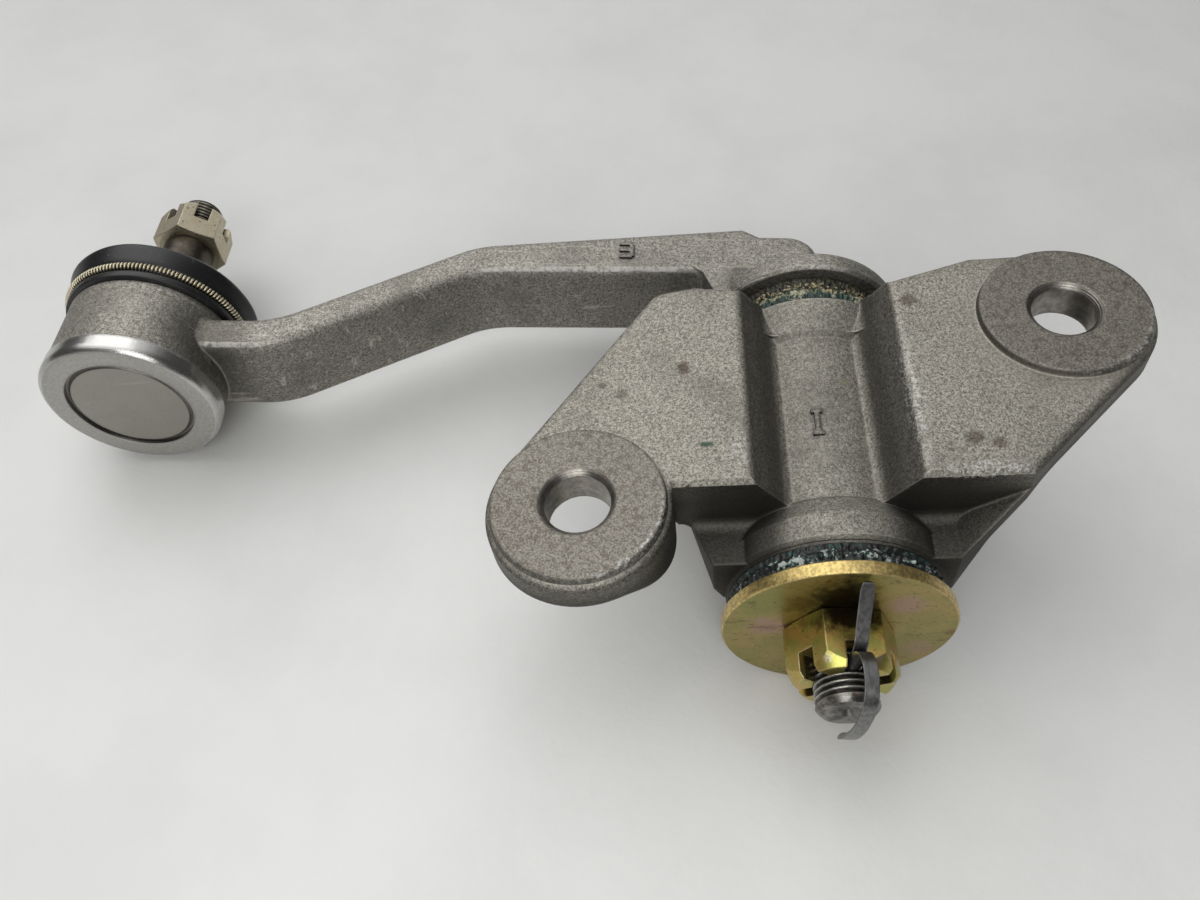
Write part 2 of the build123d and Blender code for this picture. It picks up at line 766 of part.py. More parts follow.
with BuildPart() as idler_arm:
    with BuildSketch(arm_elevation) as side_view:
        with BuildLine():
            Polyline(
                (arm_end_s, hub_low_z + arm_edge_r),
                (arm_end_s, arm_seat[1]),
                arm_seat,
                arm_peak,
                arm_knee_top,
                arm_foot_top,
                (bar_end_s, arm_foot_top_z),
                (bar_end_s, arm_foot_low_z),
                arm_foot_low,
                arm_knee_low,
                (arm_root_s, arm_root_low_z),
                (arm_root_s, hub_low_z + arm_edge_r),
                close=True,
            )
        make_face()
        for bend in (arm_knee_top, arm_knee_low, arm_foot_top, arm_foot_low):
            fillet(side_view.vertices().sort_by_distance((*bend, 0))[0], arm_bend_r)
        fillet(side_view.vertices().sort_by_distance((arm_root_s, arm_root_low_z, 0))[0], arm_root_r)
        fillet(side_view.vertices().sort_by_distance((arm_end_s, arm_seat[1], 0))[0], arm_end_r)
    extrude(amount=arm_w / 2, both=True)
    side_edges = idler_arm.faces().filter_by(Axis((0, 0, 0), arm_side)).edges()
    root_level_z = hub_rim_z + arm_edge_r
    free_edges = side_edges.filter_by(
        lambda edge: (edge @ 0.5).Z > root_level_z or along_arm(edge @ 0.5) > neck_start_s
    )
    fillet(free_edges, arm_edge_r)
    add(neck.part)
    add(foot_web.part)

    # Hub with its spigot
    with BuildSketch(pivot_profile) as hub_profile:
        with BuildLine():
            Polyline(
                (0, hub_spigot_z),
                (hub_spigot_r, hub_spigot_z),
                (hub_spigot_r, hub_low_z),
                (hub_r - hub_edge, hub_low_z),
                (hub_r, hub_low_z + hub_edge),
                (hub_r, hub_rim_z),
                (hub_crown_r, hub_crown_z),
                (0, hub_crown_z),
                close=True,
            )
        make_face()
        fillet(hub_profile.vertices().sort_by_distance((hub_r, hub_rim_z, 0))[0], hub_rim_edge_r)
        fillet(hub_profile.vertices().sort_by_distance((hub_crown_r, hub_crown_z, 0))[0], hub_crown_edge_r)
    revolve(axis=pivot_axis)

    # Ball joint housing
    with BuildSketch(ball_profile) as housing_profile:
        with BuildLine():
            Polyline(
                (0, lip_z),
                (ring_r, lip_z),
                (ring_r, lip_z + ring_h),
                (housing_r, lip_z + ring_h + ring_r - housing_r),
                (housing_r, housing_top_z),
                (housing_neck_r, housing_top_z),
                (housing_neck_r, housing_neck_z),
                (0, housing_neck_z),
                close=True,
            )
        make_face()
        fillet(housing_profile.vertices().sort_by_distance((ring_r, lip_z, 0))[0], lip_edge_r)
    revolve(axis=ball_axis)

    # Cavity of the ball joint
    with BuildSketch(ball_profile):
        with BuildLine():
            Polyline(
                (0, lip_z),
                (lip_inner_r, lip_z),
                (lip_inner_r, cap_low_z),
                (cap_r, cap_low_z),
                (cap_r, spring_z),
                (seat_r, spring_z),
                (seat_r, seat_top_z),
                (throat_low_r, seat_top_z),
                (throat_top_r, housing_neck_z),
                (0, housing_neck_z),
                close=True,
            )
        make_face()
    revolve(axis=ball_axis, mode=Mode.SUBTRACT)

    # Mark on the side of the bar
    with BuildSketch(arm_elevation.offset(-arm_w / 2 - mark_raise)):
        with Locations((arm_mark_s, arm_mark_z)):
            Rectangle(mark_stroke, arm_mark_h)
        for row in (-1, 0, 1):
            with Locations((arm_mark_s + arm_mark_w / 2, arm_mark_z + row * arm_mark_h / 2)):
                Rectangle(arm_mark_w, mark_stroke)
    extrude(amount=mark_raise + overshoot)

    # Blind bore for the press fit of the shaft
    with BuildSketch(Plane(origin=(0, pivot_y, hub_spigot_z), x_dir=(1, 0, 0), z_dir=(0, 0, 1))):
        Circle(shaft_press_r)
    extrude(amount=shaft_top_z + axial_gap - hub_spigot_z, mode=Mode.SUBTRACT)
export_piece(idler_arm, "idler_arm")

# End cap of the ball joint
with BuildPart() as end_cap:
    with BuildSketch(ball_profile):
        with BuildLine():
            Polyline(
                (0, cap_low_z - cap_face_raise),
                (cap_face_r - cap_face_raise, cap_low_z - cap_face_raise),
                (cap_face_r, cap_low_z),
                (cap_r, cap_low_z),
                (cap_r, spring_z),
                (0, spring_z),
                close=True,
            )
        make_face()
    revolve(axis=ball_axis)
export_piece(end_cap, "end_cap")

# Disc spring between the cap and the lower seat
spring_inner_z = spring_z + spring_t / 2
with BuildPart() as seat_spring:
    with BuildSketch(ball_profile):
        with BuildLine():
            Polyline(
                (spring_hole_r, spring_z),
                (spring_hole_r + spring_t, spring_z),
                (seat_r - running_gap, spring_inner_z),
                (seat_r - running_gap, seat_low_z),
                (seat_r - spring_t, seat_low_z),
                (spring_hole_r, spring_inner_z),
                close=True,
            )
        make_face()
    revolve(axis=ball_axis)
export_piece(seat_spring, "seat_spring")

# Seats round the ball
seat_outer_r = seat_r - running_gap
socket_r = ball_r + running_gap
socket_equator = sphere_point(socket_r, 0)
with BuildPart() as lower_seat:
    with BuildSketch(ball_profile):
        with BuildLine():
            seat_floor = sphere_point(socket_r, loose_gap - ball_flat_h)
            Polyline(
                socket_equator,
                (seat_outer_r, ball_z),
                (seat_outer_r, seat_low_z),
                (seat_floor[0], seat_low_z),
                seat_floor,
            )
            ThreePointArc(seat_floor, sphere_point(socket_r, -ball_flat_h / 2), socket_equator)
        make_face()
    revolve(axis=ball_axis)
export_piece(lower_seat, "lower_seat")

with BuildPart() as upper_seat:
    with BuildSketch(ball_profile):
        with BuildLine():
            mouth = sphere_point(socket_r, seat_mouth_h)
            ThreePointArc(socket_equator, sphere_point(socket_r, seat_mouth_h / 2), mouth)
            Polyline(
                mouth,
                (throat_low_r, seat_top_z),
                (seat_outer_r, seat_top_z),
                (seat_outer_r, ball_z),
                socket_equator,
            )
        make_face()
    revolve(axis=ball_axis)
export_piece(upper_seat, "upper_seat")

# Ball stud
with BuildPart() as ball_stud:
    with BuildSketch(ball_profile):
        with BuildLine():
            flat_edge = sphere_point(ball_r, -ball_flat_h)
            waist_edge = sphere_point(ball_r, math.sqrt(ball_r**2 - stud_waist_r**2))
            ThreePointArc(flat_edge, (ball_r, ball_z), waist_edge)
            Polyline(
                waist_edge,
                (stud_waist_r, housing_neck_z),
                (stud_land_r, stud_land_low_z),
                (stud_land_r, stud_land_top_z),
                (taper_low_r, stud_land_top_z),
                (taper_top_r, taper_top_z),
                (stud_thread_r, taper_top_z),
                (stud_thread_r, stud_top_z - thread_chamfer),
                (stud_thread_r - thread_chamfer, stud_top_z),
                (0, stud_top_z),
                (0, flat_edge[1]),
                flat_edge,
            )
        make_face()
    revolve(axis=ball_axis)
    with BuildSketch(Plane(origin=(ball_x, ball_y, stud_hole_z), x_dir=(0, 0, 1), z_dir=stud_corner_dir)):
        Circle(stud_hole_r)
    extrude(amount=2 * stud_thread_r, both=True, mode=Mode.SUBTRACT)
export_piece(ball_stud, "ball_stud")

# Nut of the ball stud
stud_nut_seat = Plane(
    origin=(ball_x, ball_y, stud_nut_z),
    x_dir=stud_corner_dir,
    z_dir=(0, 0, 1),
)
stud_nut = castle_nut(
    stud_nut_seat,
    stud_nut_af,
    stud_nut_h,
    stud_thread_r + running_gap,
    stud_slot_w,
    stud_slot_depth,
)
export_piece(stud_nut, "stud_nut")

# Dust boot between the housing neck and the stud
boot_groove_low_z = housing_top_z + boot_lip_h
boot_groove_high_z = boot_groove_low_z + 2 * spring_wire_r
boot_shoulder = (boot_rim_r - boot_wall, boot_rim_z - boot_wall / 2)
with BuildPart() as dust_boot:
    with BuildSketch(ball_profile):
        with BuildLine():
            Polyline(
                (housing_neck_r, housing_top_z),
                (boot_lip_r, housing_top_z),
                (boot_lip_r, boot_groove_low_z),
                (boot_groove_r, boot_groove_low_z),
                (boot_groove_r, boot_groove_high_z),
                (boot_lip_r, boot_groove_high_z),
                (boot_rim_r, boot_rim_z),
            )
            outer = Spline(
                (boot_rim_r, boot_rim_z),
                (boot_neck_r, boot_crown_z),
                tangents=[(-1, 1), (-1, 0)],
            )
            Polyline(
                outer @ 1,
                (boot_neck_r, stud_land_top_z),
                (stud_land_r + running_gap, stud_land_top_z),
                (stud_land_r + running_gap, boot_crown_z - boot_wall),
                (boot_neck_r, boot_crown_z - boot_wall),
            )
            Spline(
                (boot_neck_r, boot_crown_z - boot_wall),
                boot_shoulder,
                tangents=[(1, 0), (1, -1)],
            )
            Polyline(
                boot_shoulder,
                (housing_neck_r, housing_neck_z),
                (housing_neck_r, housing_top_z),
            )
        make_face()
    revolve(axis=ball_axis)
export_piece(dust_boot, "dust_boot")

# Spring ring in the groove of the boot
with BuildPart() as boot_ring:
    with BuildSketch(ball_profile):
        with Locations((boot_groove_r + spring_wire_r, boot_ring_z)):
            Circle(spring_wire_r)
    revolve(axis=ball_axis)
export_piece(boot_ring, "boot_ring")
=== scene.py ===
"""Looks of a steering idler arm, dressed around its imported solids.

The frame is the part's own: metres, origin midway between the frame bolts, +Z along the
pivot axis towards the arm, boss faces looking along -Y. MM turns the millimetres of a
table into metres.
"""

import logging
import math
from dataclasses import dataclass, field
from enum import Enum
from typing import Any, Callable, Sequence

import bpy
import numpy as np
from mathutils import Matrix, Vector

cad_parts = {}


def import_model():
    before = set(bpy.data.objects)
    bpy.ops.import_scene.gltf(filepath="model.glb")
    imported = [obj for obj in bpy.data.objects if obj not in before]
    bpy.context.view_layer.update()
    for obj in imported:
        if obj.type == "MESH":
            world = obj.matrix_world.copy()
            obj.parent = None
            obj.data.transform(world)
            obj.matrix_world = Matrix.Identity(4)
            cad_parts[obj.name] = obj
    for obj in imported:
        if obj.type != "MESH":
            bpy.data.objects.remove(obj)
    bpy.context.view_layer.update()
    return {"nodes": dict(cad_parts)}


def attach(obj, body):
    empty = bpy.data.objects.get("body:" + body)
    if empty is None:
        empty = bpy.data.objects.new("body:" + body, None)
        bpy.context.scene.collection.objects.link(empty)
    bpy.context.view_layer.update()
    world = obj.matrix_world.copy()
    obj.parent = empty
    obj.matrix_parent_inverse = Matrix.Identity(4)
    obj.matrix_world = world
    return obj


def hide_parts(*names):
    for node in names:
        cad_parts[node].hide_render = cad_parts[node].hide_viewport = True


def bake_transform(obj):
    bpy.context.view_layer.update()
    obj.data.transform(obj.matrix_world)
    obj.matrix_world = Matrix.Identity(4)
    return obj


LOG = logging.getLogger("idler_arm")
MM = 0.001
TURN = 2 * math.pi
Pair = tuple[float, float]
Colour = tuple[float, float, float]
Point = tuple[float, float, float]
PIVOT: Point = (0.0, 32.9 * MM, 0.0)
BALL: Point = (-176.92505 * MM, 13.36729 * MM, 37.0 * MM)
EVEN: Point = (1.0, 1.0, 1.0)
LEVEL: Point = (1.0, 1.0, 0.0)
UPRIGHT: Point = (1.0, 0.0, 1.0)
FRONT: Point = (0.0, -1.0, 0.0)
DOWN: Point = (0.0, 0.0, -1.0)


class Kind(Enum):
    """Node types that the materials use."""

    COORDINATES = "ShaderNodeTexCoord"
    GEOMETRY = "ShaderNodeNewGeometry"
    MAPPING = "ShaderNodeMapping"
    MATHS = "ShaderNodeMath"
    VECTOR_MATHS = "ShaderNodeVectorMath"
    SPLIT = "ShaderNodeSeparateXYZ"
    NOISE = "ShaderNodeTexNoise"
    RANGE = "ShaderNodeMapRange"
    MIX = "ShaderNodeMix"
    BUMP = "ShaderNodeBump"
    BEVEL = "ShaderNodeBevel"
    SURFACE = "ShaderNodeBsdfPrincipled"
    CLEAR = "ShaderNodeBsdfTransparent"
    MIX_SHADERS = "ShaderNodeMixShader"
    LIGHT_PATH = "ShaderNodeLightPath"
    BACKGROUND = "ShaderNodeBackground"
    OUTPUT = "ShaderNodeOutputMaterial"
    WORLD_OUTPUT = "ShaderNodeOutputWorld"


def mm(*lengths: float) -> tuple[float, ...]:
    """Lengths in millimetres, turned into metres."""
    return tuple(length * MM for length in lengths)


def shade(colour: Colour, share: float) -> Colour:
    """Colour made darker or lighter by a factor, with no part above 1."""
    return tuple(min(1.0, share * part) for part in colour)


def _maths(operation: str, reflected: bool = False) -> Callable[..., "Signal"]:
    """Write a method of Signal that adds one Math node.

    Args:
        operation: the node's operation.
        reflected: True where the signal itself comes last, as in 1 - signal.

    Returns:
        The method. It takes the operation's other number, where it has one.
    """

    def method(self: "Signal", *others: Any) -> "Signal":
        """Result of the operation."""
        values = dict(enumerate((*others, self) if reflected else (self, *others)))
        return Signal(self.nodes, self.nodes.node(Kind.MATHS, {"operation": operation}, values))

    return method


class Signal:
    """A number on its way through a node tree, with the usual arithmetic."""

    __add__, __radd__ = _maths("ADD"), _maths("ADD", True)
    __sub__, __rsub__ = _maths("SUBTRACT"), _maths("SUBTRACT", True)
    __mul__, __rmul__ = _maths("MULTIPLY"), _maths("MULTIPLY", True)
    sine, size, most = _maths("SINE"), _maths("ABSOLUTE"), _maths("MAXIMUM")

    def __init__(self, nodes: "Nodes", socket: bpy.types.NodeSocket) -> None:
        """Wrap the output socket that carries the number."""
        self.nodes = nodes
        self.socket = socket

    def between(self, low: float, high: float) -> "Signal":
        """Smooth step.

        Args:
            low: value that gives 0.
            high: value that gives 1. It may be the smaller one, and then the step falls.

        Returns:
            3t^2 - 2t^3 of t, the clamped place between low and high.
        """
        ends = {1: low, 2: high} if low < high else {1: high, 2: low, 3: 1.0, 4: 0.0}
        settings = {"interpolation_type": "SMOOTHSTEP"}
        return Signal(self.nodes, self.nodes.node(Kind.RANGE, settings, {0: self, **ends}))

    def span(self, low: float, high: float) -> "Signal":
        """Smooth step of a length, between two ends in millimetres."""
        return self.between(low * MM, high * MM)


class Nodes:
    """A node tree and the few ways in which nodes are added to it."""

    def __init__(self, tree: bpy.types.NodeTree) -> None:
        """Start from an emptied tree.

        Args:
            tree: the node tree of a material or a world.
        """
        self.tree = tree
        self.tree.nodes.clear()
        self._object: bpy.types.NodeSocket | None = None

    def node(
        self,
        kind: Kind,
        settings: dict[str, Any] | None = None,
        inputs: dict[Any, Any] | None = None,
        output: Any = 0,
    ) -> bpy.types.NodeSocket | None:
        """Add a node.

        Args:
            kind: type of the node.
            settings: its properties, which are set before its sockets.
            inputs: a value, a Signal or an output socket for each input's name or number.
            output: name or number of the output that is wanted.

        Returns:
            The output socket, or None where the node has none.
        """
        made = self.tree.nodes.new(kind.value)
        for name, value in (settings or {}).items():
            setattr(made, name, value)
        for key, value in (inputs or {}).items():
            source = value.socket if isinstance(value, Signal) else value
            if isinstance(source, bpy.types.NodeSocket):
                self.tree.links.new(source, made.inputs[key])
            else:
                made.inputs[key].default_value = source
        return made.outputs[output] if len(made.outputs) else None

    def place(self) -> bpy.types.NodeSocket:
        """Object coordinates, which all patterns share.

        Returns:
            The output socket, in metres.
        """
        if self._object is None:
            self._object = self.node(Kind.COORDINATES, output="Object")
        return self._object

    def normal(self) -> bpy.types.NodeSocket:
        """The surface's own normal."""
        return self.node(Kind.GEOMETRY, output="Normal")

    def axes(self, vector: bpy.types.NodeSocket | None = None) -> tuple[Signal, Signal, Signal]:
        """The three parts of a vector, or of the object coordinates, as numbers."""
        split = self.node(Kind.SPLIT, inputs={0: self.place() if vector is None else vector}).node
        return tuple(Signal(self, split.outputs[k]) for k in range(3))

    def noise(
        self,
        size: float,
        detail: float = 2.0,
        roughness: float = 0.5,
        shift: float = 0.0,
        stretch: Point = EVEN,
    ) -> Signal:
        """Cloudy noise.

        Args:
            size: width of its blotches in millimetres.
            detail: number of finer octaves.
            roughness: weight of the finer octaves.
            shift: distance in metres that moves the pattern.
            stretch: factor on each axis, which narrows the blotches along it.

        Returns:
            A number near 0.5, from 0 to 1.
        """
        moved = {"Vector": self.place(), "Location": (shift, 2 * shift, -shift), "Scale": stretch}
        inputs = {
            "Vector": self.node(Kind.MAPPING, {}, moved),
            "Scale": 1.0 / (size * MM),
            "Detail": detail,
            "Roughness": roughness,
        }
        return Signal(self, self.node(Kind.NOISE, {}, inputs, "Fac"))

    def vector(self, operation: str, *values: Any, output: Any = 0) -> bpy.types.NodeSocket:
        """Result of one Vector Math node."""
        settings = {"operation": operation}
        return self.node(Kind.VECTOR_MATHS, settings, dict(enumerate(values)), output)

    def distance(self, point: Point, stretch: Point = EVEN) -> Signal:
        """Distance to a point.

        Args:
            point: the point in the row frame, in metres.
            stretch: factor on each axis. With a 0 it is the distance to a line or plane.

        Returns:
            The length of the stretched offset in metres.
        """
        scaled = self.vector("MULTIPLY", self.vector("SUBTRACT", self.place(), point), stretch)
        return Signal(self, self.vector("LENGTH", scaled, output="Value"))

    def facing(self, direction: Point) -> Signal:
        """Cosine of the angle between the surface's normal and a direction in the row frame."""
        unit = tuple(Vector(direction).normalized())
        return Signal(self, self.vector("DOT_PRODUCT", self.normal(), unit, output="Value"))

    def blend(self, factor: Any, first: Any, second: Any) -> bpy.types.NodeSocket:
        """Mix of two colours.

        Args:
            factor: share of the second colour.
            first: colour at factor 0.
            second: colour at factor 1.

        Returns:
            The mixed colour.
        """
        settings = {"data_type": "RGBA", "blend_type": "MIX", "clamp_factor": True}
        wide = [(*c, 1.0) if isinstance(c, tuple) else c for c in (first, second)]
        return self.node(Kind.MIX, settings, {0: factor, 6: wide[0], 7: wide[1]}, 2)

    def bump(
        self, height: Signal, depth: float, **start: bpy.types.NodeSocket
    ) -> bpy.types.NodeSocket:
        """Bumped normal.

        Args:
            height: height of the surface, from 0 to 1.
            depth: height in metres that 1 stands for.
            start: as Normal, the normal that the bumps start from, where it isn't the face's.

        Returns:
            The bumped normal.
        """
        inputs = {"Height": height, "Distance": depth, "Strength": 1.0, **start}
        return self.node(Kind.BUMP, {}, inputs)


@dataclass(frozen=True)
class Stain:
    """Stain: its middle and reach in millimetres, its colour, its strength and its stretch."""

    at: Point
    reach: float
    colour: Colour
    strength: float = 0.8
    stretch: Point = EVEN


class Coat:
    """A material's colour, metal, roughness and height, on which layers are laid.

    It also holds the normal that the heights start from, and the fine noise that the
    layers share.
    """

    def __init__(self, name: str, tone: Colour, metal: float) -> None:
        """Start a material.

        Args:
            name: its name.
            tone: colour of its lowest layer.
            metal: metallic share of that layer.
        """
        self.material = bpy.data.materials.new(name)
        self.material.use_nodes = True
        self.nodes = Nodes(self.material.node_tree)
        self.tone: Any = tone
        self.metal: Any = metal
        self.rough: Any = 0.5
        self.height: Any = 0.0
        self.start: dict[str, bpy.types.NodeSocket] = {}
        self.fine: Signal | None = None

    def tint(self, mask: Any, tone: Any) -> None:
        """Change the colour alone where the mask is 1."""
        self.tone = self.nodes.blend(mask, self.tone, tone)

    def lay(self, mask: Signal, tone: Any, metal: float, rough: Any) -> None:
        """Lay another surface over this one.

        Args:
            mask: 1 where the layer covers, 0 where it doesn't.
            tone: its colour.
            metal: its metallic share.
            rough: its roughness.
        """
        self.tint(mask, tone)
        self.metal = (1.0 - mask) * self.metal + mask * metal
        self.rough = (1.0 - mask) * self.rough + mask * rough

    def raise_by(self, height: Signal) -> None:
        """Add to the height of the surface, in metres."""
        self.height = height + self.height

    def smooth_where(self, mask: Signal) -> None:
        """Take the height away where the mask is 1."""
        self.height = (1.0 - mask) * self.height

    def round_edges(self, radius: float) -> Signal:
        """Start the normal from rounded edges.

        Args:
            radius: width of the rounding in millimetres.

        Returns:
            A number that rises from 0 on flats to about 0.3 on edges.
        """
        nodes = self.nodes
        rounded = nodes.node(Kind.BEVEL, {"samples": 4}, {"Radius": radius * MM})
        self.start = {"Normal": rounded}
        straight = nodes.vector("DOT_PRODUCT", rounded, nodes.normal(), output="Value")
        return 1.0 - Signal(nodes, straight)

    def stain(self, stains: Sequence[Stain], ragged: Signal, fray: float) -> None:
        """Lay stains with ragged edges.

        Args:
            stains: the stains.
            ragged: noise around 0.5 that frays their edges.
            fray: how far it does, as a share of a stain's reach.
        """
        for spot in stains:
            reach = spot.reach * MM
            near = self.nodes.distance(mm(*spot.at), spot.stretch) + (ragged - 0.5) * (fray * reach)
            self.tint(near.between(reach, 0.35 * reach) * spot.strength, spot.colour)

    def finish(self) -> bpy.types.Material:
        """Close the material. The heights are bumps in millimetres.

        Returns:
            The finished material.
        """
        normal = self.nodes.bump(self.height * 1000.0, MM, **self.start)
        inputs = {"Base Color": self.tone, "Metallic": self.metal, "Roughness": self.rough}
        surface = self.nodes.node(Kind.SURFACE, {}, {**inputs, "Normal": normal})
        self.nodes.node(Kind.OUTPUT, {}, {"Surface": surface})
        return self.material


@dataclass(frozen=True)
class Finish:
    """A finish: the name of its material, and its main colour and metallic share."""

    name: str
    main: Colour
    metal: float = field(default=0.0, kw_only=True)

    def layers(self, coat: Coat) -> None:
        """Lay the layers of this kind of finish."""
        raise NotImplementedError

    def material(self) -> bpy.types.Material:
        """Make the material.

        Returns:
            The finished material.
        """
        coat = Coat(self.name, self.main, self.metal)
        self.layers(coat)
        return coat.finish()


@dataclass(frozen=True)
class Forging(Finish):
    """Shot-blasted forged steel.

    Fields: colours of the blasted skin's dimples and facets; colour of the rust pits; the
    share that they cover; the depth of the skin in metres; how much painted shade darkens
    its steep walls; the middle and reach in millimetres of its forged mark, round which the
    walls get painted shade; and the stains on it.
    """

    dark: Colour
    light: Colour
    mark: Point
    mark_reach: float
    pitted: Colour = (0.075, 0.052, 0.034)
    pit_share: float = 0.5
    skin: float = 0.15 * MM
    steep_wall_shade: float = 0.92
    stains: tuple[Stain, ...] = ()
    metal: float = field(default=0.88, kw_only=True)

    def layers(self, coat: Coat) -> None:
        """Lay the blasted skin with its pits, stains and worn edges, and painted shade on its steep
        walls and round its mark.

        Args:
            coat: what they are laid on.
        """
        nodes = coat.nodes
        grain = nodes.noise(0.38, 2.0, 0.6)
        facet = nodes.noise(0.85, 3.0, 0.7, 0.3)
        cloud = nodes.noise(15, 4.0, 0.6, 0.2)
        ragged = nodes.noise(1.6, 4.0, 0.65, 0.5)
        edge = coat.round_edges(1.1)
        coat.rough = 0.42 + 0.22 * cloud + 0.1 * grain
        blasted = (grain * 0.55 + facet * 0.45 - 0.5) * 4.8 + 0.45
        coat.tone = nodes.blend(blasted, self.dark, self.light)
        coat.tint(0.3, self.main)
        coat.tint(cloud.between(0.5, 0.68) * 0.35, shade(self.main, 0.62))
        coat.tint(ragged.between(0.6, 0.7) * self.pit_share, self.pitted)
        glint = nodes.noise(0.36, 1.0, 0.5, 0.9).between(0.68, 0.75)
        coat.tint(glint * 0.5, shade(self.light, 2.2))
        coat.stain(self.stains, ragged, 1.3)
        worn = edge.between(0.03, 0.2) * (0.35 + ragged * 0.7)
        coat.tint(worn * 0.75, shade(self.light, 1.5))
        x, y, _ = nodes.axes()
        # painted shade: steep walls that don't face the front are darkened, most near the middle
        # and the front
        steep = nodes.facing(FRONT).size().between(0.88, 0.4)
        hidden = (0.62 + 0.38 * x.size().span(45, 25)) * y.span(44, 20)
        coat.tint(steep * hidden * self.steep_wall_shade, shade(self.main, 0.07))
        # painted shade on the walls and edges round the forged mark
        walls = steep.between(0.01, 0.2) + edge.between(0.03, 0.12)
        marked = nodes.distance(mm(*self.mark)).span(self.mark_reach, 0.8 * self.mark_reach)
        coat.tint(marked * walls * 0.7, (0.012, 0.011, 0.01))
        coat.raise_by((grain * 0.6 + facet) * self.skin)


@dataclass(frozen=True)
class BracketForging(Forging):
    """Forging with two ground bosses and reamed bores.

    Fields: the bore axes in X and Z, the radius inside which a wall is a bore's and the
    radius of the torn rim, all in millimetres; the worn ridges, each with its middle, its
    stretch, its reach and core in millimetres and its strength; and the colours of the
    ground faces, their scale, the bores and the worn edges.
    """

    bores: tuple[Pair, ...] = ((-55.7, -24.0), (55.7, 24.0))
    bore_r: float = 8.7
    rim_r: float = 23.2
    ridges: tuple[tuple[Point, Point, float, float, float], ...] = (
        ((18.3, 1.8, 2.0), (1.0, 1.0, 0.13), 3.8, 0.8, 0.85),
        ((31.0, 1.8, -18.6), (0.2, 1.0, 1.0), 3.0, 1.0, 0.8),
        ((-20.6, 1.8, -11.0), (1.0, 1.0, 0.3), 2.6, 0.8, 0.75),
    )
    ground: Colour = (0.195, 0.181, 0.155)
    scale: Colour = (0.075, 0.058, 0.044)
    reamed: Colour = (0.34, 0.315, 0.28)
    worn: Colour = (0.62, 0.61, 0.58)

    def layers(self, coat: Coat) -> None:
        """Lay painted shade deeper in the part, in the channel and in the pocket, then the ground
        faces, the worn edges and the bores.

        Args:
            coat: what they are laid on.
        """
        super().layers(coat)
        nodes = coat.nodes
        x, y, z = nodes.axes()
        face = y.span(0.35, 0.1)
        near_black = shade(self.main, 0.12)
        # painted shade: darker the further a face lies behind the front of the wings
        coat.tint(y.span(2.5, 13) * 0.3, shade(self.main, 0.35))
        # painted shade on the walls of the channel
        channel = x.size().span(9, 15.5) * y.span(5, 10) * y.span(30, 20)
        coat.tint(channel * 0.6, near_black)
        # painted shade in the pocket under the wings
        pocket = z.span(-15, -20) * y.span(12, 20) * y.span(46, 36) * x.size().span(12, 20)
        coat.tint(pocket * 0.62, near_black)
        mottle = nodes.noise(2.0, 5.0, 0.7, 0.8)
        fine = nodes.noise(0.45, 2.0, 0.6, 0.4)
        low, high = shade(self.ground, 0.55), shade(self.ground, 1.5)
        dull = nodes.blend((fine - 0.5) * 4.0 + 0.5, low, high)
        dull = nodes.blend(mottle.between(0.5, 0.6) * 0.6, dull, self.scale)
        coat.smooth_where(face * 0.45)
        coat.lay(face * 0.85, dull, 0.85, 0.45)
        crumbs = nodes.noise(0.9, 3.0, 0.7, 0.6).between(0.5, 0.6)
        for at, stretch, reach, core, strength in self.ridges:
            ridge = nodes.distance(mm(*at), stretch).span(reach, core)
            coat.tint(ridge * crumbs * strength, self.worn)
        for x_bore, z_bore in self.bores:
            rim = nodes.distance(mm(x_bore - 3.3, 0.0, z_bore + 2.6), UPRIGHT)
            torn = (rim - self.rim_r * MM).size().span(1.9, 0.5) * y.span(2.0, 0.5)
            coat.tint(torn * crumbs * 0.7, self.worn)
        lathe = (y * (TURN / (0.42 * MM)) + mottle * 3.0).sine()
        metal = nodes.blend(mottle.between(0.35, 0.7), shade(self.reamed, 0.55), self.reamed)
        for x_bore, z_bore in self.bores:
            from_bore = nodes.distance(mm(x_bore, 0.0, z_bore), UPRIGHT)
            wall = from_bore.span(self.bore_r, self.bore_r - 0.4)
            coat.smooth_where(wall)
            coat.lay(wall, metal, 0.9, 0.32)
            coat.raise_by(wall * lathe * (0.012 * MM))




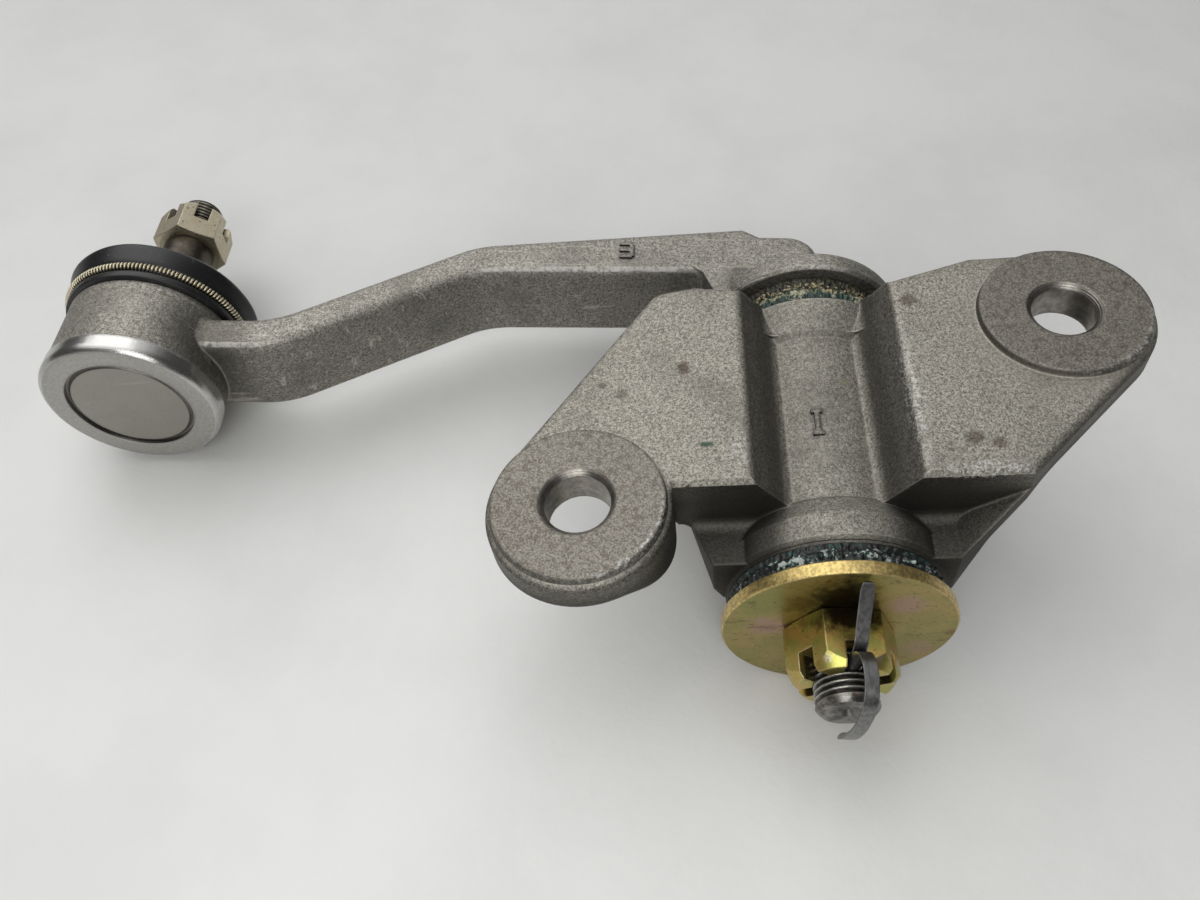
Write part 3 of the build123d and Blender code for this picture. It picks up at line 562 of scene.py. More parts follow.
@dataclass(frozen=True)
class ArmForging(Forging):
    """Forging with a turned ring round its ball joint.

    Fields: the ball joint's axis; in millimetres the height of the turned ring and the
    radii where its land ends and where that is highest; and the colours of the ring, its
    matt land, its groove and the bright line along the arm's lower front edge, which is
    wear and painted highlight.
    """

    centre: Point = BALL
    ring_top: float = 24.7
    land_r: float = 16.1
    crown_r: float = 19.4
    turned: Colour = (0.58, 0.57, 0.55)
    matt: Colour = (0.44, 0.425, 0.395)
    groove: Colour = (0.03, 0.028, 0.024)
    ledge_wear_and_highlight: Colour = (0.62, 0.60, 0.57)

    def layers(self, coat: Coat) -> None:
        """Lay the turned ring, its matt land and groove, and the bright line of wear and painted
        highlight along the arm's lower front edge.

        Args:
            coat: what they are laid on.
        """
        super().layers(coat)
        nodes = coat.nodes
        z = nodes.axes()[2]
        from_axis = nodes.distance(self.centre, LEVEL)
        fine = nodes.noise(0.7, 3.0, 0.6, 0.2)
        streak = nodes.noise(5, 4.0, 0.6, 0.7)
        scratch = nodes.noise(6, 3.0, 0.6, 0.1, (0.25, 1.0, 6.0))
        coat.tint(scratch.between(0.62, 0.7) * 0.25, shade(self.light, 1.5))
        housing = from_axis.span(24.5, 22.8)
        coat.tint(housing * 0.15, shade(self.main, 0.62))
        low = z + (streak - 0.5) * (0.5 * MM)
        ring = housing * low.span(self.ring_top, self.ring_top - 0.5)
        coat.smooth_where(ring)
        steel = nodes.blend(streak.between(0.4, 0.65) * 0.3, self.turned, shade(self.turned, 0.7))
        coat.lay(ring, steel, 0.95, 0.17 + 0.1 * streak)
        land = ring * nodes.facing(DOWN).between(0.93, 0.99)
        dull = nodes.blend(fine.between(0.35, 0.65), shade(self.matt, 0.8), self.matt)
        coat.lay(land * 0.85, dull, 0.8, 0.45)
        lathe = (from_axis * (TURN / (0.35 * MM))).sine()
        across = (from_axis - self.crown_r * MM) * (1 / (3.5 * MM))
        coat.raise_by(ring * (lathe * (0.004 * MM) - across * across * (0.45 * MM)))
        groove = from_axis.span(self.land_r + 0.12, self.land_r - 0.15)
        coat.tint(ring * groove * 0.85, self.groove)
        # painted highlight with wear: a bright line on faces that look forwards and down, off the
        # ring
        crest = nodes.facing((0.08, -0.74, -0.67)).between(0.95, 0.99) * (1.0 - ring)
        torn = nodes.noise(1.8, 4.0, 0.7, 0.35).between(0.36, 0.6)
        coat.tint(crest * torn * 0.75, self.ledge_wear_and_highlight)


@dataclass(frozen=True)
class Zinc(Finish):
    """Chromated zinc plate, handled and a little dirty.

    Fields: the plate's second colour and how much of that shows; colours of the bright edges,
    worn to the metal and on the pivot nut also painted highlight, and of the dark grime, which
    HollowZinc also lays as painted shade; size of the clouds in millimetres; roughness; the
    share of dark specks; and the stains.
    """

    second: Colour
    second_share: float = 0.7
    bright_edge: Colour = (0.66, 0.64, 0.58)
    dirt_and_shade: Colour = (0.05, 0.04, 0.022)
    cloud: float = 7
    rough: float = 0.34
    specks: float = 0.6
    stains: tuple[Stain, ...] = ()
    metal: float = field(default=0.88, kw_only=True)

    def layers(self, coat: Coat) -> None:
        """Lay the plate's clouds, specks, stains and worn edges.

        Args:
            coat: what they are laid on.
        """
        nodes = coat.nodes
        cloud = nodes.noise(self.cloud, 3.0, 0.55)
        fine = coat.fine = nodes.noise(0.7, 3.0, 0.65, 0.3)
        ragged = nodes.noise(2.2, 4.0, 0.6, 0.5)
        edge = coat.round_edges(0.45)
        coat.rough = self.rough - 0.06 + 0.16 * fine
        coat.tint(cloud.between(0.4, 0.62) * self.second_share, self.second)
        coat.tint((fine - 0.42) * 1.6, shade(self.main, 0.72))
        coat.stain(self.stains, ragged, 1.1)
        speck = nodes.noise(0.8, 2.0, 0.5, 0.8).between(0.66, 0.71)
        coat.tint(speck * self.specks, self.dirt_and_shade)
        # bright edges: worn metal, and on the pivot nut also painted highlight
        coat.tint(edge.between(0.04, 0.2) * (0.3 + ragged * 0.7) * 0.8, self.bright_edge)
        coat.raise_by(fine * (0.03 * MM))


@dataclass(frozen=True)
class HollowZinc(Zinc):
    """Zinc plate with painted shade in its hollows: the slots of a nut, the inside of coils.

    Fields: the piece's axis, and in millimetres the radius inside which the hollows lie.
    """

    centre: Point = PIVOT
    slot_r: float = 10.2

    def layers(self, coat: Coat) -> None:
        """Lay the plate and the painted shade in its hollows.

        Args:
            coat: what they are laid on.
        """
        super().layers(coat)
        # painted shade on the walls of the hollows near the axis
        inside = coat.nodes.distance(self.centre, LEVEL).span(self.slot_r, self.slot_r - 0.9)
        walls = inside * (1.0 - coat.nodes.facing(DOWN).size().between(0.6, 0.85))
        coat.tint(walls * (0.6 + coat.fine * 0.6), self.dirt_and_shade)


@dataclass(frozen=True)
class WasherZinc(Zinc):
    """Zinc plate on a blanked washer, with a rough bright rim.

    Fields: the washer's axis, in millimetres the radius where its rim begins, and the
    colours of the rim and of the rubbed streaks.
    """

    centre: Point = PIVOT
    rim_r: float = 25.75
    rim: Colour = (0.80, 0.60, 0.24)
    rubbed: Colour = (0.10, 0.062, 0.022)

    def layers(self, coat: Coat) -> None:
        """Lay the plate, its rubbed streaks and its rim.

        Args:
            coat: what they are laid on.
        """
        super().layers(coat)
        nodes = coat.nodes
        streaks = nodes.noise(2.4, 4.0, 0.7, 0.9, (0.4, 1.0, 1.0)).between(0.57, 0.66)
        coat.tint(streaks * 0.5, self.rubbed)
        rim = nodes.distance(self.centre, LEVEL).span(self.rim_r, self.rim_r + 0.15)
        torn = nodes.noise(0.8, 4.0, 0.7, 0.4, (1.0, 1.0, 0.8))
        tone = nodes.blend(torn.between(0.38, 0.6), shade(self.rim, 0.55), self.rim)
        coat.lay(rim * 0.9, tone, 0.9, 0.33)
        coat.raise_by(rim * torn * (0.1 * MM))


@dataclass(frozen=True)
class Steel(Finish):
    """Bare or blackened steel with streaks, rust specks and worn crests.

    Fields: darker colour, colour of the rust and of worn edges; roughness; share of the
    rust; depth of the skin in metres; and stretch of the streaks.
    """

    dark: Colour
    rust: Colour = (0.16, 0.07, 0.03)
    worn: Colour = (0.55, 0.54, 0.52)
    rough: float = 0.38
    rust_share: float = 0.4
    skin: float = 0.02 * MM
    stretch: Point = EVEN
    metal: float = field(default=0.9, kw_only=True)

    def layers(self, coat: Coat) -> None:
        """Lay the streaks, the rust and the worn edges.

        Args:
            coat: what they are laid on.
        """
        nodes = coat.nodes
        streak = nodes.noise(2.0, 4.0, 0.6, 0.0, self.stretch)
        fine = coat.fine = nodes.noise(0.5, 3.0, 0.6, 0.4)
        edge = coat.round_edges(0.3)
        coat.rough = self.rough - 0.08 + 0.18 * fine
        coat.tint(streak.between(0.38, 0.62), self.dark)
        rusty = nodes.noise(1.4, 3.0, 0.6, 0.9).between(0.58, 0.68)
        coat.tint(rusty * self.rust_share, self.rust)
        coat.tint(edge.between(0.04, 0.22) * 0.6, self.worn)
        coat.raise_by((fine + streak) * self.skin)


@dataclass(frozen=True)
class ThreadSteel(Steel):
    """Steel of a threaded end, with darker roots and bright crests.

    Fields: the thread's axis; in millimetres its outer radius and the ends between which
    it lies; and how much darker its roots are.
    """

    centre: Point = PIVOT
    crest_r: float = 7.0
    span: Pair = (-60.0, -37.0)
    root_share: float = 0.85

    def layers(self, coat: Coat) -> None:
        """Lay the steel, darken the roots and brighten the crests.

        Args:
            coat: what they are laid on.
        """
        super().layers(coat)
        z = coat.nodes.axes()[2]
        low, high = self.span
        thread = z.span(low, low + 0.5) * z.span(high, high - 0.5)
        radius = coat.nodes.distance(self.centre, LEVEL)
        root = radius.span(self.crest_r - 0.15, self.crest_r - 0.75)
        crest = radius.span(self.crest_r - 0.22, self.crest_r - 0.02)
        coat.tint(thread * root * self.root_share, shade(self.dark, 0.25))
        coat.tint(thread * crest * (0.35 + coat.fine * 0.6), self.worn)


@dataclass(frozen=True)
class Moulded(Finish):
    """Moulded rubber or plastic with a bloom of dust.

    Fields: colour and share of the dust; roughness; depth of the grain in metres.
    """

    dust: Colour
    dust_share: float
    rough: float
    skin: float = 0.015 * MM

    def layers(self, coat: Coat) -> None:
        """Lay the bloom and the specks of dust.

        Args:
            coat: what they are laid on.
        """
        nodes = coat.nodes
        fine = nodes.noise(0.5, 3.0, 0.6)
        cloud = nodes.noise(9, 4.0, 0.6, 0.4)
        specks = nodes.noise(0.55, 1.0, 0.5, 0.8).between(0.68, 0.75)
        coat.rough = self.rough + 0.25 * (cloud - 0.5)
        coat.tint(cloud.between(0.4, 0.75) * self.dust_share, self.dust)
        coat.tint(specks * min(1.0, 3 * self.dust_share), shade(self.dust, 2.5))
        coat.raise_by(fine * self.skin)


@dataclass(frozen=True)
class Greased(Finish):
    """Seal under bands of old grease.

    Fields: the bands, each with its low and high place in millimetres, its colour and the
    share of it that is covered; and the crumbs' colour, share and low and high place.
    """

    bands: tuple[tuple[float, float, Colour, float], ...]
    crumb: Colour
    crumb_share: float
    crumb_zone: Pair

    def layers(self, coat: Coat) -> None:
        """Lay the bands and the crumbs.

        Args:
            coat: what they are laid on.
        """
        nodes = coat.nodes
        z = nodes.axes()[2]
        ragged = nodes.noise(2.6, 5.0, 0.65, 0.3, (1.0, 1.0, 1.5))
        fine = nodes.noise(0.9, 4.0, 0.7, 0.6)
        frayed = z + (ragged - 0.5) * (3.2 * MM)
        coat.rough = 0.2 + 0.4 * fine
        for low, high, tone, share in self.bands:
            band = frayed.span(low - 0.35, low + 0.35) * frayed.span(high + 0.35, high - 0.35)
            covered = 0.62 - 0.3 * share
            coat.tint(band * (fine * 0.6 + ragged * 0.4).between(covered, covered + 0.04), tone)
        low, high = self.crumb_zone
        zone = z.span(low - 0.3, low + 0.3) * z.span(high + 0.3, high - 0.3)
        gathered = nodes.noise(4.2, 2.0, 0.5, 0.4).between(0.42, 0.6)
        level = 0.62 - 0.1 * self.crumb_share
        crumbs = nodes.noise(1.8, 5.0, 0.72, 0.35) + gathered * 0.1
        coat.tint(zone * crumbs.between(level, level + 0.04), self.crumb)
        coat.raise_by(fine * (0.12 * MM))


@dataclass(frozen=True)
class Pressed(Finish):
    """Pressed cap of plated sheet steel.

    Fields: colour of the dark line at its rim, the cap's axis, and in millimetres the
    radius of its raised face.
    """

    line: Colour
    centre: Point
    face_r: float
    metal: float = field(default=0.75, kw_only=True)

    def layers(self, coat: Coat) -> None:
        """Lay the clouds, the scratches, the specks and the dark line.

        Args:
            coat: what they are laid on.
        """
        nodes = coat.nodes
        cloud = nodes.noise(8, 4.0, 0.6)
        fine = nodes.noise(0.6, 3.0, 0.6, 0.4)
        scratch = nodes.noise(3, 2.0, 0.5, 0.7, (0.12, 1.6, 1.0))
        coat.round_edges(0.5)
        coat.rough = 0.36 + 0.14 * cloud
        coat.tint((cloud - 0.4) * 1.4, shade(self.main, 0.86))
        coat.tint((fine - 0.4) * 0.9, shade(self.main, 0.8))
        coat.tint(scratch.between(0.68, 0.72) * 0.35, shade(self.main, 1.3))
        coat.tint(nodes.noise(0.8, 2.0, 0.5, 0.9).between(0.7, 0.73) * 0.7, self.line)
        from_line = (nodes.distance(self.centre, LEVEL) - self.face_r * MM).size()
        coat.tint(from_line.span(0.26, 0.08) * 0.65, self.line)
        coat.raise_by(fine * (0.008 * MM))


def dress(piece: bpy.types.Object, material: bpy.types.Material) -> None:
    """Give a piece one material in all its slots.

    Args:
        piece: a CAD node's object or a new piece.
        material: its material.
    """
    piece.data.materials.clear()
    piece.data.materials.append(material)
    slots = np.zeros(len(piece.data.polygons), dtype=np.int32)
    piece.data.polygons.foreach_set("material_index", slots)


def shell(
    name: str,
    grid: np.ndarray,
    round_rows: bool = False,
    ends: tuple[Point, Point] | None = None,
    crease: float = 40.0,
) -> bpy.types.Object:
    """Closed mesh of a grid of points whose columns go round.

    Each face joins four neighbours: (row, column), (row, column + 1), (row + 1,
    column + 1) and (row + 1, column), where the last column meets the first.

    Args:
        name: name of the piece.
        grid: points in metres, as rows x columns x 3.
        round_rows: True where the last row meets the first.
        ends: points that close the first and the last row, as fans of triangles.
        crease: edges sharper than this many degrees stay sharp.

    Returns:
        The piece's object, at the origin.
    """
    rows, columns = grid.shape[:2]
    index = np.arange(rows * columns).reshape(rows, columns)
    if round_rows:
        index = np.vstack([index, index[:1]])
    index = np.hstack([index, index[:, :1]])
    corners = [index[:-1, :-1], index[:-1, 1:], index[1:, 1:], index[1:, :-1]]
    faces = np.stack(corners, axis=-1).reshape(-1, 4).tolist()
    points = grid.reshape(-1, 3)
    if ends is not None:
        points = np.vstack([points, ends])
        low, high = index[0], index[-1]
        fans = (low[1:], low[:-1]), (high[:-1], high[1:])
        for tip, (one, other) in enumerate(fans, start=rows * columns):
            faces += np.stack([np.full(columns, tip), one, other], axis=-1).tolist()
    mesh = bpy.data.meshes.new(name)
    mesh.from_pydata(points.tolist(), [], faces)
    mesh.update()
    mesh.shade_smooth()
    mesh.set_sharp_from_angle(angle=math.radians(crease))
    piece = bpy.data.objects.new(name, mesh)
    bpy.context.scene.collection.objects.link(piece)
    return piece


def around(centre: Point, radius: Any, height: Any, turns: np.ndarray) -> np.ndarray:
    """Points round an upright axis: (x + r cos(angle), y + r sin(angle), height).

    Args:
        centre: the axis, in metres.
        radius: distances r from it, in metres.
        height: heights in metres.
        turns: angles in radians. The three broadcast with each other.

    Returns:
        Array of points, with one more axis than the three.
    """
    x = centre[0] + radius * np.cos(turns)
    y = centre[1] + radius * np.sin(turns)
    return np.stack([x, y, np.broadcast_to(height, x.shape)], axis=-1)


def angles(columns: int) -> np.ndarray:
    """A row of angles that go once round, in radians."""
    return np.linspace(0, TURN, columns, endpoint=False)[None, :]


def stepped(profile: Sequence[Pair], step: float) -> np.ndarray:
    """Points along a profile of straight runs.

    Each run from a to b is a + t (b - a), with t in equal parts no longer than the step.

    Args:
        profile: radius and height pairs in millimetres.
        step: longest distance between two points, in metres.

    Returns:
        Array of radius and height pairs in metres, with the profile's own corners in it.
    """
    corners = np.array(profile) * MM
    runs = []
    for a, b in zip(corners[:-1], corners[1:]):
        count = max(1, math.ceil(float(np.linalg.norm(b - a)) / step))
        runs.append(np.linspace(a, b, count, endpoint=False))
    return np.vstack([*runs, corners[-1:]])


def eased(points: Sequence[Pair], samples: int) -> np.ndarray:
    """Closed curve that passes smoothly through its points.

    Between p1 and p2 it is the Catmull-Rom cubic of the four points p0 to p3 around them:
    half of 2 p1 + (p2 - p0) t + (2 p0 - 5 p1 + 4 p2 - p3) t^2 + (3 p1 - p0 - 3 p2 + p3) t^3.

    Args:
        points: radius and height pairs.
        samples: number of points on each stretch.

    Returns:
        Array of radius and height pairs.
    """
    p1 = np.array(points)[:, None, :]
    p0, p2, p3 = np.roll(p1, 1, axis=0), np.roll(p1, -1, axis=0), np.roll(p1, -2, axis=0)
    t = np.linspace(0, 1, samples, endpoint=False)[None, :, None]
    square = 2 * p0 - 5 * p1 + 4 * p2 - p3
    cube = 3 * p1 - p0 - 3 * p2 + p3
    return ((2 * p1 + (p2 - p0) * t + square * t**2 + cube * t**3) / 2).reshape(-1, 2)


def ripples(
    seed: int, turns: np.ndarray, heights: np.ndarray, finest: int, length: float
) -> np.ndarray:
    """Lumpy noise that closes round an axis.

    It is the sum of sines of k turns + 2 pi m height / length + phase, divided by the
    square root of their number, where k and m are whole numbers drawn at random: k up to
    the finest, m up to 4 either way.

    Args:
        seed: start of the random numbers.
        turns: angles in radians.
        heights: heights in metres, which broadcast with the angles.
        finest: most waves round the axis.
        length: height in metres of the longest wave.

    Returns:
        Array of the noise, mostly between -1.5 and 1.5.
    """
    draw = np.random.default_rng(seed)
    count, coarsest, steepest = 28, 3, 4
    across = draw.integers(coarsest, finest, count)[:, None, None]
    along = draw.integers(-steepest, steepest + 1, count)[:, None, None]
    phase = draw.uniform(0, TURN, count)[:, None, None]
    waves = np.sin(across * turns[None] + TURN * along * heights[None] / length + phase)
    return waves.sum(axis=0) / math.sqrt(count)


def tangent_arcs(start: Pair, heading: float, corners: Sequence[Pair], samples: int) -> np.ndarray:
    """Chain of arcs, each of which leaves the last one without a bend.

    With a the angle from the heading to the chord of length c, the arc's point at a share
    t is c sin(t a) / sin(a) from its start, in the direction heading + t a, and its own
    heading at the end is heading + 2 a.

    Args:
        start: first point.
        heading: direction there, in radians.
        corners: the points that the arcs end at.
        samples: number of points on each arc.

    Returns:
        Array of points, the start first.
    """
    stretches = [np.array([start])]
    at = np.array(start, dtype=float)
    for corner in corners:
        chord = np.array(corner) - at
        angle = (math.atan2(chord[1], chord[0]) - heading + math.pi) % TURN - math.pi
        share = np.linspace(0, 1, samples + 1)[1:]
        reach = np.hypot(*chord) * np.sin(share * angle) / math.sin(angle)
        way = heading + share * angle
        stretches.append(at + np.stack([reach * np.cos(way), reach * np.sin(way)], axis=-1))
        at, heading = np.array(corner, dtype=float), heading + 2 * angle
    return np.vstack(stretches)


@dataclass
class ThreadedBar:
    """Turned bar with a rolled thread and a cross hole.

    Fields: name and body; the axis; radius and height pairs in millimetres from the lower
    end up; the thread's ends, radius and pitch; the hole's height, direction in degrees
    and radius; the thread's depth as a share of its pitch; the hole's depth as a share of
    the thread's radius; points to a pitch and round the bar. Sizes are in metres.
    """

    name: str
    body: str
    centre: Point
    profile: tuple[Pair, ...]
    thread_low: float
    thread_high: float
    thread_r: float
    pitch: float
    hole_z: float
    hole_turn: float
    hole_r: float
    thread_depth_share: float = 0.58
    hole_depth_share: float = 0.45
    rows_per_pitch: int = 14
    columns: int = 96

    def build(self) -> bpy.types.Object:
        """Make the bar.

        Its radius at a height and an angle is the smaller of the profile's and the
        thread's. The thread's is r - d (1 - tooth), where the tooth is a clipped triangle
        wave of height / pitch - angle / (2 pi), and fades out at its ends. Inside the
        hole's circle on both sides the radius is less by the hole's depth.

        Returns:
            The piece's object.
        """
        line = stepped(self.profile, self.pitch / self.rows_per_pitch)
        turns = angles(self.columns)
        base, height = line[:, :1], line[:, 1:]
        wave = np.abs(2 * np.mod(height / self.pitch - turns / TURN, 1.0) - 1)
        tooth = np.clip(wave * 1.5 - 0.25, 0, 1)
        fade = np.clip((height - self.thread_low) / self.pitch, 0, 1)
        fade = fade * np.clip((self.thread_high - height) / self.pitch + 0.6, 0, 1)
        depth = self.thread_depth_share * self.pitch
        cut = self.thread_r - depth * (1 - tooth) * fade
        radius = np.minimum(base, np.where(base > self.thread_r + 1e-6, base, cut))
        across = self.thread_r * np.sin(turns - math.radians(self.hole_turn))
        into = np.hypot(across, height - self.hole_z)
        dent = np.clip((self.hole_r - into) / (0.25 * self.hole_r), 0, 1)
        radius = radius - self.hole_depth_share * self.thread_r * dent
        ends = tuple((self.centre[0], self.centre[1], float(z)) for z in (line[0, 1], line[-1, 1]))
        piece = shell(self.name, around(self.centre, radius, height, turns), ends=ends)
        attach(piece, self.body)
        return piece


@dataclass
class CotterPin:
    """Half-round wire, doubled round an eye, with its legs bent apart.

    Fields: the pin's middle and its direction in degrees; where the legs leave the nut;
    the eye's middle and radius, the angle at which it is open on each side and its number
    of points; the distance from its middle to the straight part; the wire's radius; the
    gap from its flat side to the middle; the corners of the legs; the points on each arc;
    the tips' size as a share of the wire's and their length. Sizes are in mm in the plane
    of the pin, whose first axis runs along it and whose second one is +Z.
    """

    centre: Point = (0.0, 32.9, -50.9)
    turn: float = -80.5
    exit: float = 11.6
    eye: float = -14.4
    eye_r: float = 1.6
    eye_open: float = 25.0
    eye_points: int = 32
    eye_end: float = 3.2
    wire_r: float = 1.5
    gap: float = 0.03
    upper: tuple[Pair, ...] = ((15.2, 1.6), (24.5, 9.9))
    lower: tuple[Pair, ...] = ((15.2, -1.0), (18.4, -6.2), (12.8, -13.6), (-7.0, -11.2))
    samples: int = 14
    tip_share: float = 0.72
    tip_reach: float = 1.6

    def path(self) -> np.ndarray:
        """Make the line of the wire's flat side, from the tip of one leg to the other's.

        Returns:
            Array of points: up one leg, round the eye and back along the other leg.
        """
        turns = np.radians(np.linspace(self.eye_open, 360 - self.eye_open, self.eye_points))
        eye = [self.eye, 0] + self.eye_r * np.stack([np.cos(turns), np.sin(turns)], axis=-1)
        straight = np.linspace(self.eye + self.eye_end, self.exit, self.samples)[:-1, None]
        upper = tangent_arcs((self.exit, self.gap), 0.0, self.upper, self.samples)
        lower = tangent_arcs((self.exit, -self.gap), 0.0, self.lower, self.samples)
        side = np.full_like(straight, self.gap)
        out, back = np.hstack([straight, -side]), np.hstack([straight, side])
        return np.vstack([upper[::-1], back[::-1], eye, out, lower])

    def build(self) -> bpy.types.Object:
        """Make the pin.

        Its section is a half circle of the wire's radius, with the flat side on the path:
        path + r cos(a) outwards + r sin(a) across, for a from -90 to 90 degrees, and back
        along the flat. The section narrows by a quarter over the tip of each leg.

        Returns:
            The piece's object, riding on the arm.
        """
        line = self.path()
        tangent = np.gradient(line, axis=0)
        tangent /= np.linalg.norm(tangent, axis=-1, keepdims=True)
        outward = np.stack([tangent[:, 1], -tangent[:, 0]], axis=-1)
        run = np.concatenate([[0.0], np.cumsum(np.linalg.norm(np.diff(line, axis=0), axis=-1))])
        tip = np.sqrt(np.clip(np.minimum(run, run[-1] - run) / self.tip_reach, 0, 1))
        size = self.wire_r * (self.tip_share + (1 - self.tip_share) * tip)
        arc = np.radians(np.linspace(-90, 90, 15))
        flat = np.linspace(1, -1, 7)[1:-1]
        away = np.concatenate([np.cos(arc), np.zeros_like(flat)])[None, :]
        aside = np.concatenate([np.sin(arc), flat])[None, :]
        section = line[:, None, :] + size[:, None, None] * away[..., None] * outward[:, None, :]
        side = -size[:, None] * aside
        turn = math.radians(self.turn)
        x = self.centre[0] + section[..., 0] * math.cos(turn) + side * math.sin(turn)
        y = self.centre[1] + section[..., 0] * math.sin(turn) + side * -math.cos(turn)
        z = self.centre[2] + section[..., 1]
        grid = np.stack([x, y, z], axis=-1) * MM
        ends = tuple(tuple(grid[row].mean(axis=0)) for row in (0, -1))
        piece = shell("bent_cotter_pin", grid, ends=ends, crease=50.0)
        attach(piece, "arm")
        return piece


@dataclass
class PivotStack:
    """Everything on the pivot: shaft, washer, nut, cotter pin, bushes and seals.

    Fields: the nodes by name; the shaft and the pin; the seals' inner radius; each seal's
    outer radius, low and high height; the number and depth of their grooves; the
    thickness of the grease, the waves of its noise round and along the seal; and the
    points round and up a seal. Sizes are in metres.
    """

    nodes: dict[str, bpy.types.Object]
    shaft: ThreadedBar = field(
        default_factory=lambda: ThreadedBar(
            name="threaded_shaft",
            body="arm",
            centre=PIVOT,
            profile=(
                *((0.9, -57.6), (2.0, -59.0), (6.1, -59.0), (6.8, -58.2), (7.0, -57.8)),
                *((7.0, -36.4), (12.5, -36.4), (12.5, 44.1), (12.0, 44.1), (12.0, 58.7)),
                (11.2, 59.5),
            ),
            thread_low=-57.9 * MM,
            thread_high=-38.5 * MM,
            thread_r=7.0 * MM,
            pitch=1.5 * MM,
            hole_z=-50.9 * MM,
            hole_turn=-80.5,
            hole_r=1.8 * MM,
        )
    )
    cotter: CotterPin = field(default_factory=CotterPin)
    seal_inner_r: float = 19.0 * MM
    upper_seal: Point = (22.2 * MM, 39.02 * MM, 49.7 * MM)
    lower_seal: Point = (24.2 * MM, -36.3 * MM, -31.32 * MM)
    grooves: int = 2
    groove_depth: float = 0.5 * MM
    grease: float = 0.35 * MM
    finest: int = 150
    longest: float = 8 * MM
    columns: int = 640
    rows: int = 30

    def seal(self, name: str, size: Point, seed: int) -> bpy.types.Object:
        """Make one seal with the grease on it.

        Its section is a ring between two heights. The outer wall's radius is the outer
        radius less the depth times sin^2 of the grooves, plus the grease times the noise
        where that is above 0, which fades out at both heights.

        Args:
            name: name of the piece.
            size: outer radius, low and high height in metres.
            seed: start of the random numbers.

        Returns:
            The piece's object, riding on the bracket.
        """
        outer, low, high = size
        turns = angles(self.columns)
        share = np.linspace(0, 1, self.rows)[:, None]
        height = low + share * (high - low)
        noise = ripples(seed, turns, height, self.finest, self.longest)
        wall = outer - self.groove_depth * np.sin(share * self.grooves * math.pi) ** 2
        fade = np.clip(np.sin(share * math.pi) * 3, 0, 1)
        wall = wall + self.grease * np.clip(noise + 0.2, 0, 1.6) * fade
        inner = np.full_like(wall[:1], self.seal_inner_r)
        heights = np.vstack([height[:1], height, height[-1:]])
        grid = around(PIVOT, np.vstack([inner, wall, inner]), heights, turns)
        piece = shell(name, grid, round_rows=True, crease=60.0)
        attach(piece, "bracket")
        return piece

    def seals(self) -> None:
        """Make both seals and dress them in their grease."""
        cream, olive, teal = (0.42, 0.37, 0.20), (0.055, 0.052, 0.03), (0.015, 0.045, 0.036)
        brown, dark_teal, pale = (0.16, 0.085, 0.025), (0.015, 0.05, 0.043), (0.24, 0.32, 0.28)
        upper = self.seal("greased_upper_seal", self.upper_seal, 11)
        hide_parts("upper_seal")
        upper_bands = (
            (39.0, 45.4, teal, 0.9),
            (44.2, 47.9, cream, 0.38),
            (45.4, 48.6, brown, 0.12),
            # dark olive band: grease, and painted shadow under the hub
            (47.9, 50.0, olive, 0.4),
        )
        crumbs = (0.50, 0.48, 0.34), 0.2, (39.0, 45.6)
        grease = Greased("upper_seal_grease", (0.016, 0.015, 0.010), upper_bands, *crumbs)
        dress(upper, grease.material())
        lower = self.seal("greased_lower_seal", self.lower_seal, 23)
        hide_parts("lower_seal")
        lower_bands = (-36.6, -31.0, dark_teal, 0.33), (-36.8, -33.6, pale, 0.15)
        crumbs = (0.46, 0.52, 0.48), 0.25, (-36.5, -32.6)
        grease = Greased("lower_seal_grease", (0.010, 0.011, 0.010), lower_bands, *crumbs)
        dress(lower, grease.material())

    def plated(self) -> None:
        """Dress the washer and the nut in their zinc."""
        near_black, rose, olive = (0.040, 0.030, 0.012), (0.38, 0.25, 0.175), (0.24, 0.245, 0.07)
        silver, brown, level = (0.62, 0.61, 0.58), (0.16, 0.11, 0.035), -39.7
        washer = WasherZinc(
            "washer_zinc",
            (0.36, 0.285, 0.098),
            (0.26, 0.25, 0.075),
            stains=(
                Stain((-18.0, 20.0, level), 8.0, olive, 0.7),
                Stain((-15.8, 29.5, level), 6.0, rose, 0.95),
                Stain((13.5, 21.5, level), 5.5, rose, 0.9),
                Stain((18.5, 43.0, level), 5.5, rose, 0.6),
                # painted reflection of the nut, with grease: darker beside the nut
                Stain((-0.4, 19.0, level), 9.5, near_black, 1.0, (1.0, 0.75, 1.0)),
                Stain((-9.0, 20.0, level), 5.0, brown, 0.7),
                Stain((-7.4, 56.9, level), 4.0, near_black, 0.6),
                Stain((25.1, 35.1, level), 2.2, (0.17, 0.08, 0.03), 0.6),
            ),
        )
        # painted shade in the nut's slots
        nut = HollowZinc(
            "pivot_nut_zinc",
            (0.56, 0.40, 0.12),
            (0.37, 0.39, 0.10),
            second_share=0.9,
            # painted highlight and wear along the nut's edges
            bright_edge=(0.80, 0.75, 0.55),
            cloud=4,
            rough=0.28,
            stains=(
                Stain((-4.65, 21.4, -51.8), 1.7, silver, 0.9),
                Stain((6.9, 22.6, -51.8), 1.7, silver, 0.9),
                Stain((2.0, 22.0, -41.0), 7.0, near_black, 1.0, (0.6, 1.0, 1.0)),
                Stain((1.5, 21.8, -47.0), 2.4, (0.14, 0.10, 0.03), 0.7),
                Stain((-8.0, 26.0, -41.0), 2.0, (0.2, 0.13, 0.05), 0.6),
            ),
        )
        dress(self.nodes["pivot_washer"], washer.material())
        dress(self.nodes["pivot_nut"], nut.material())

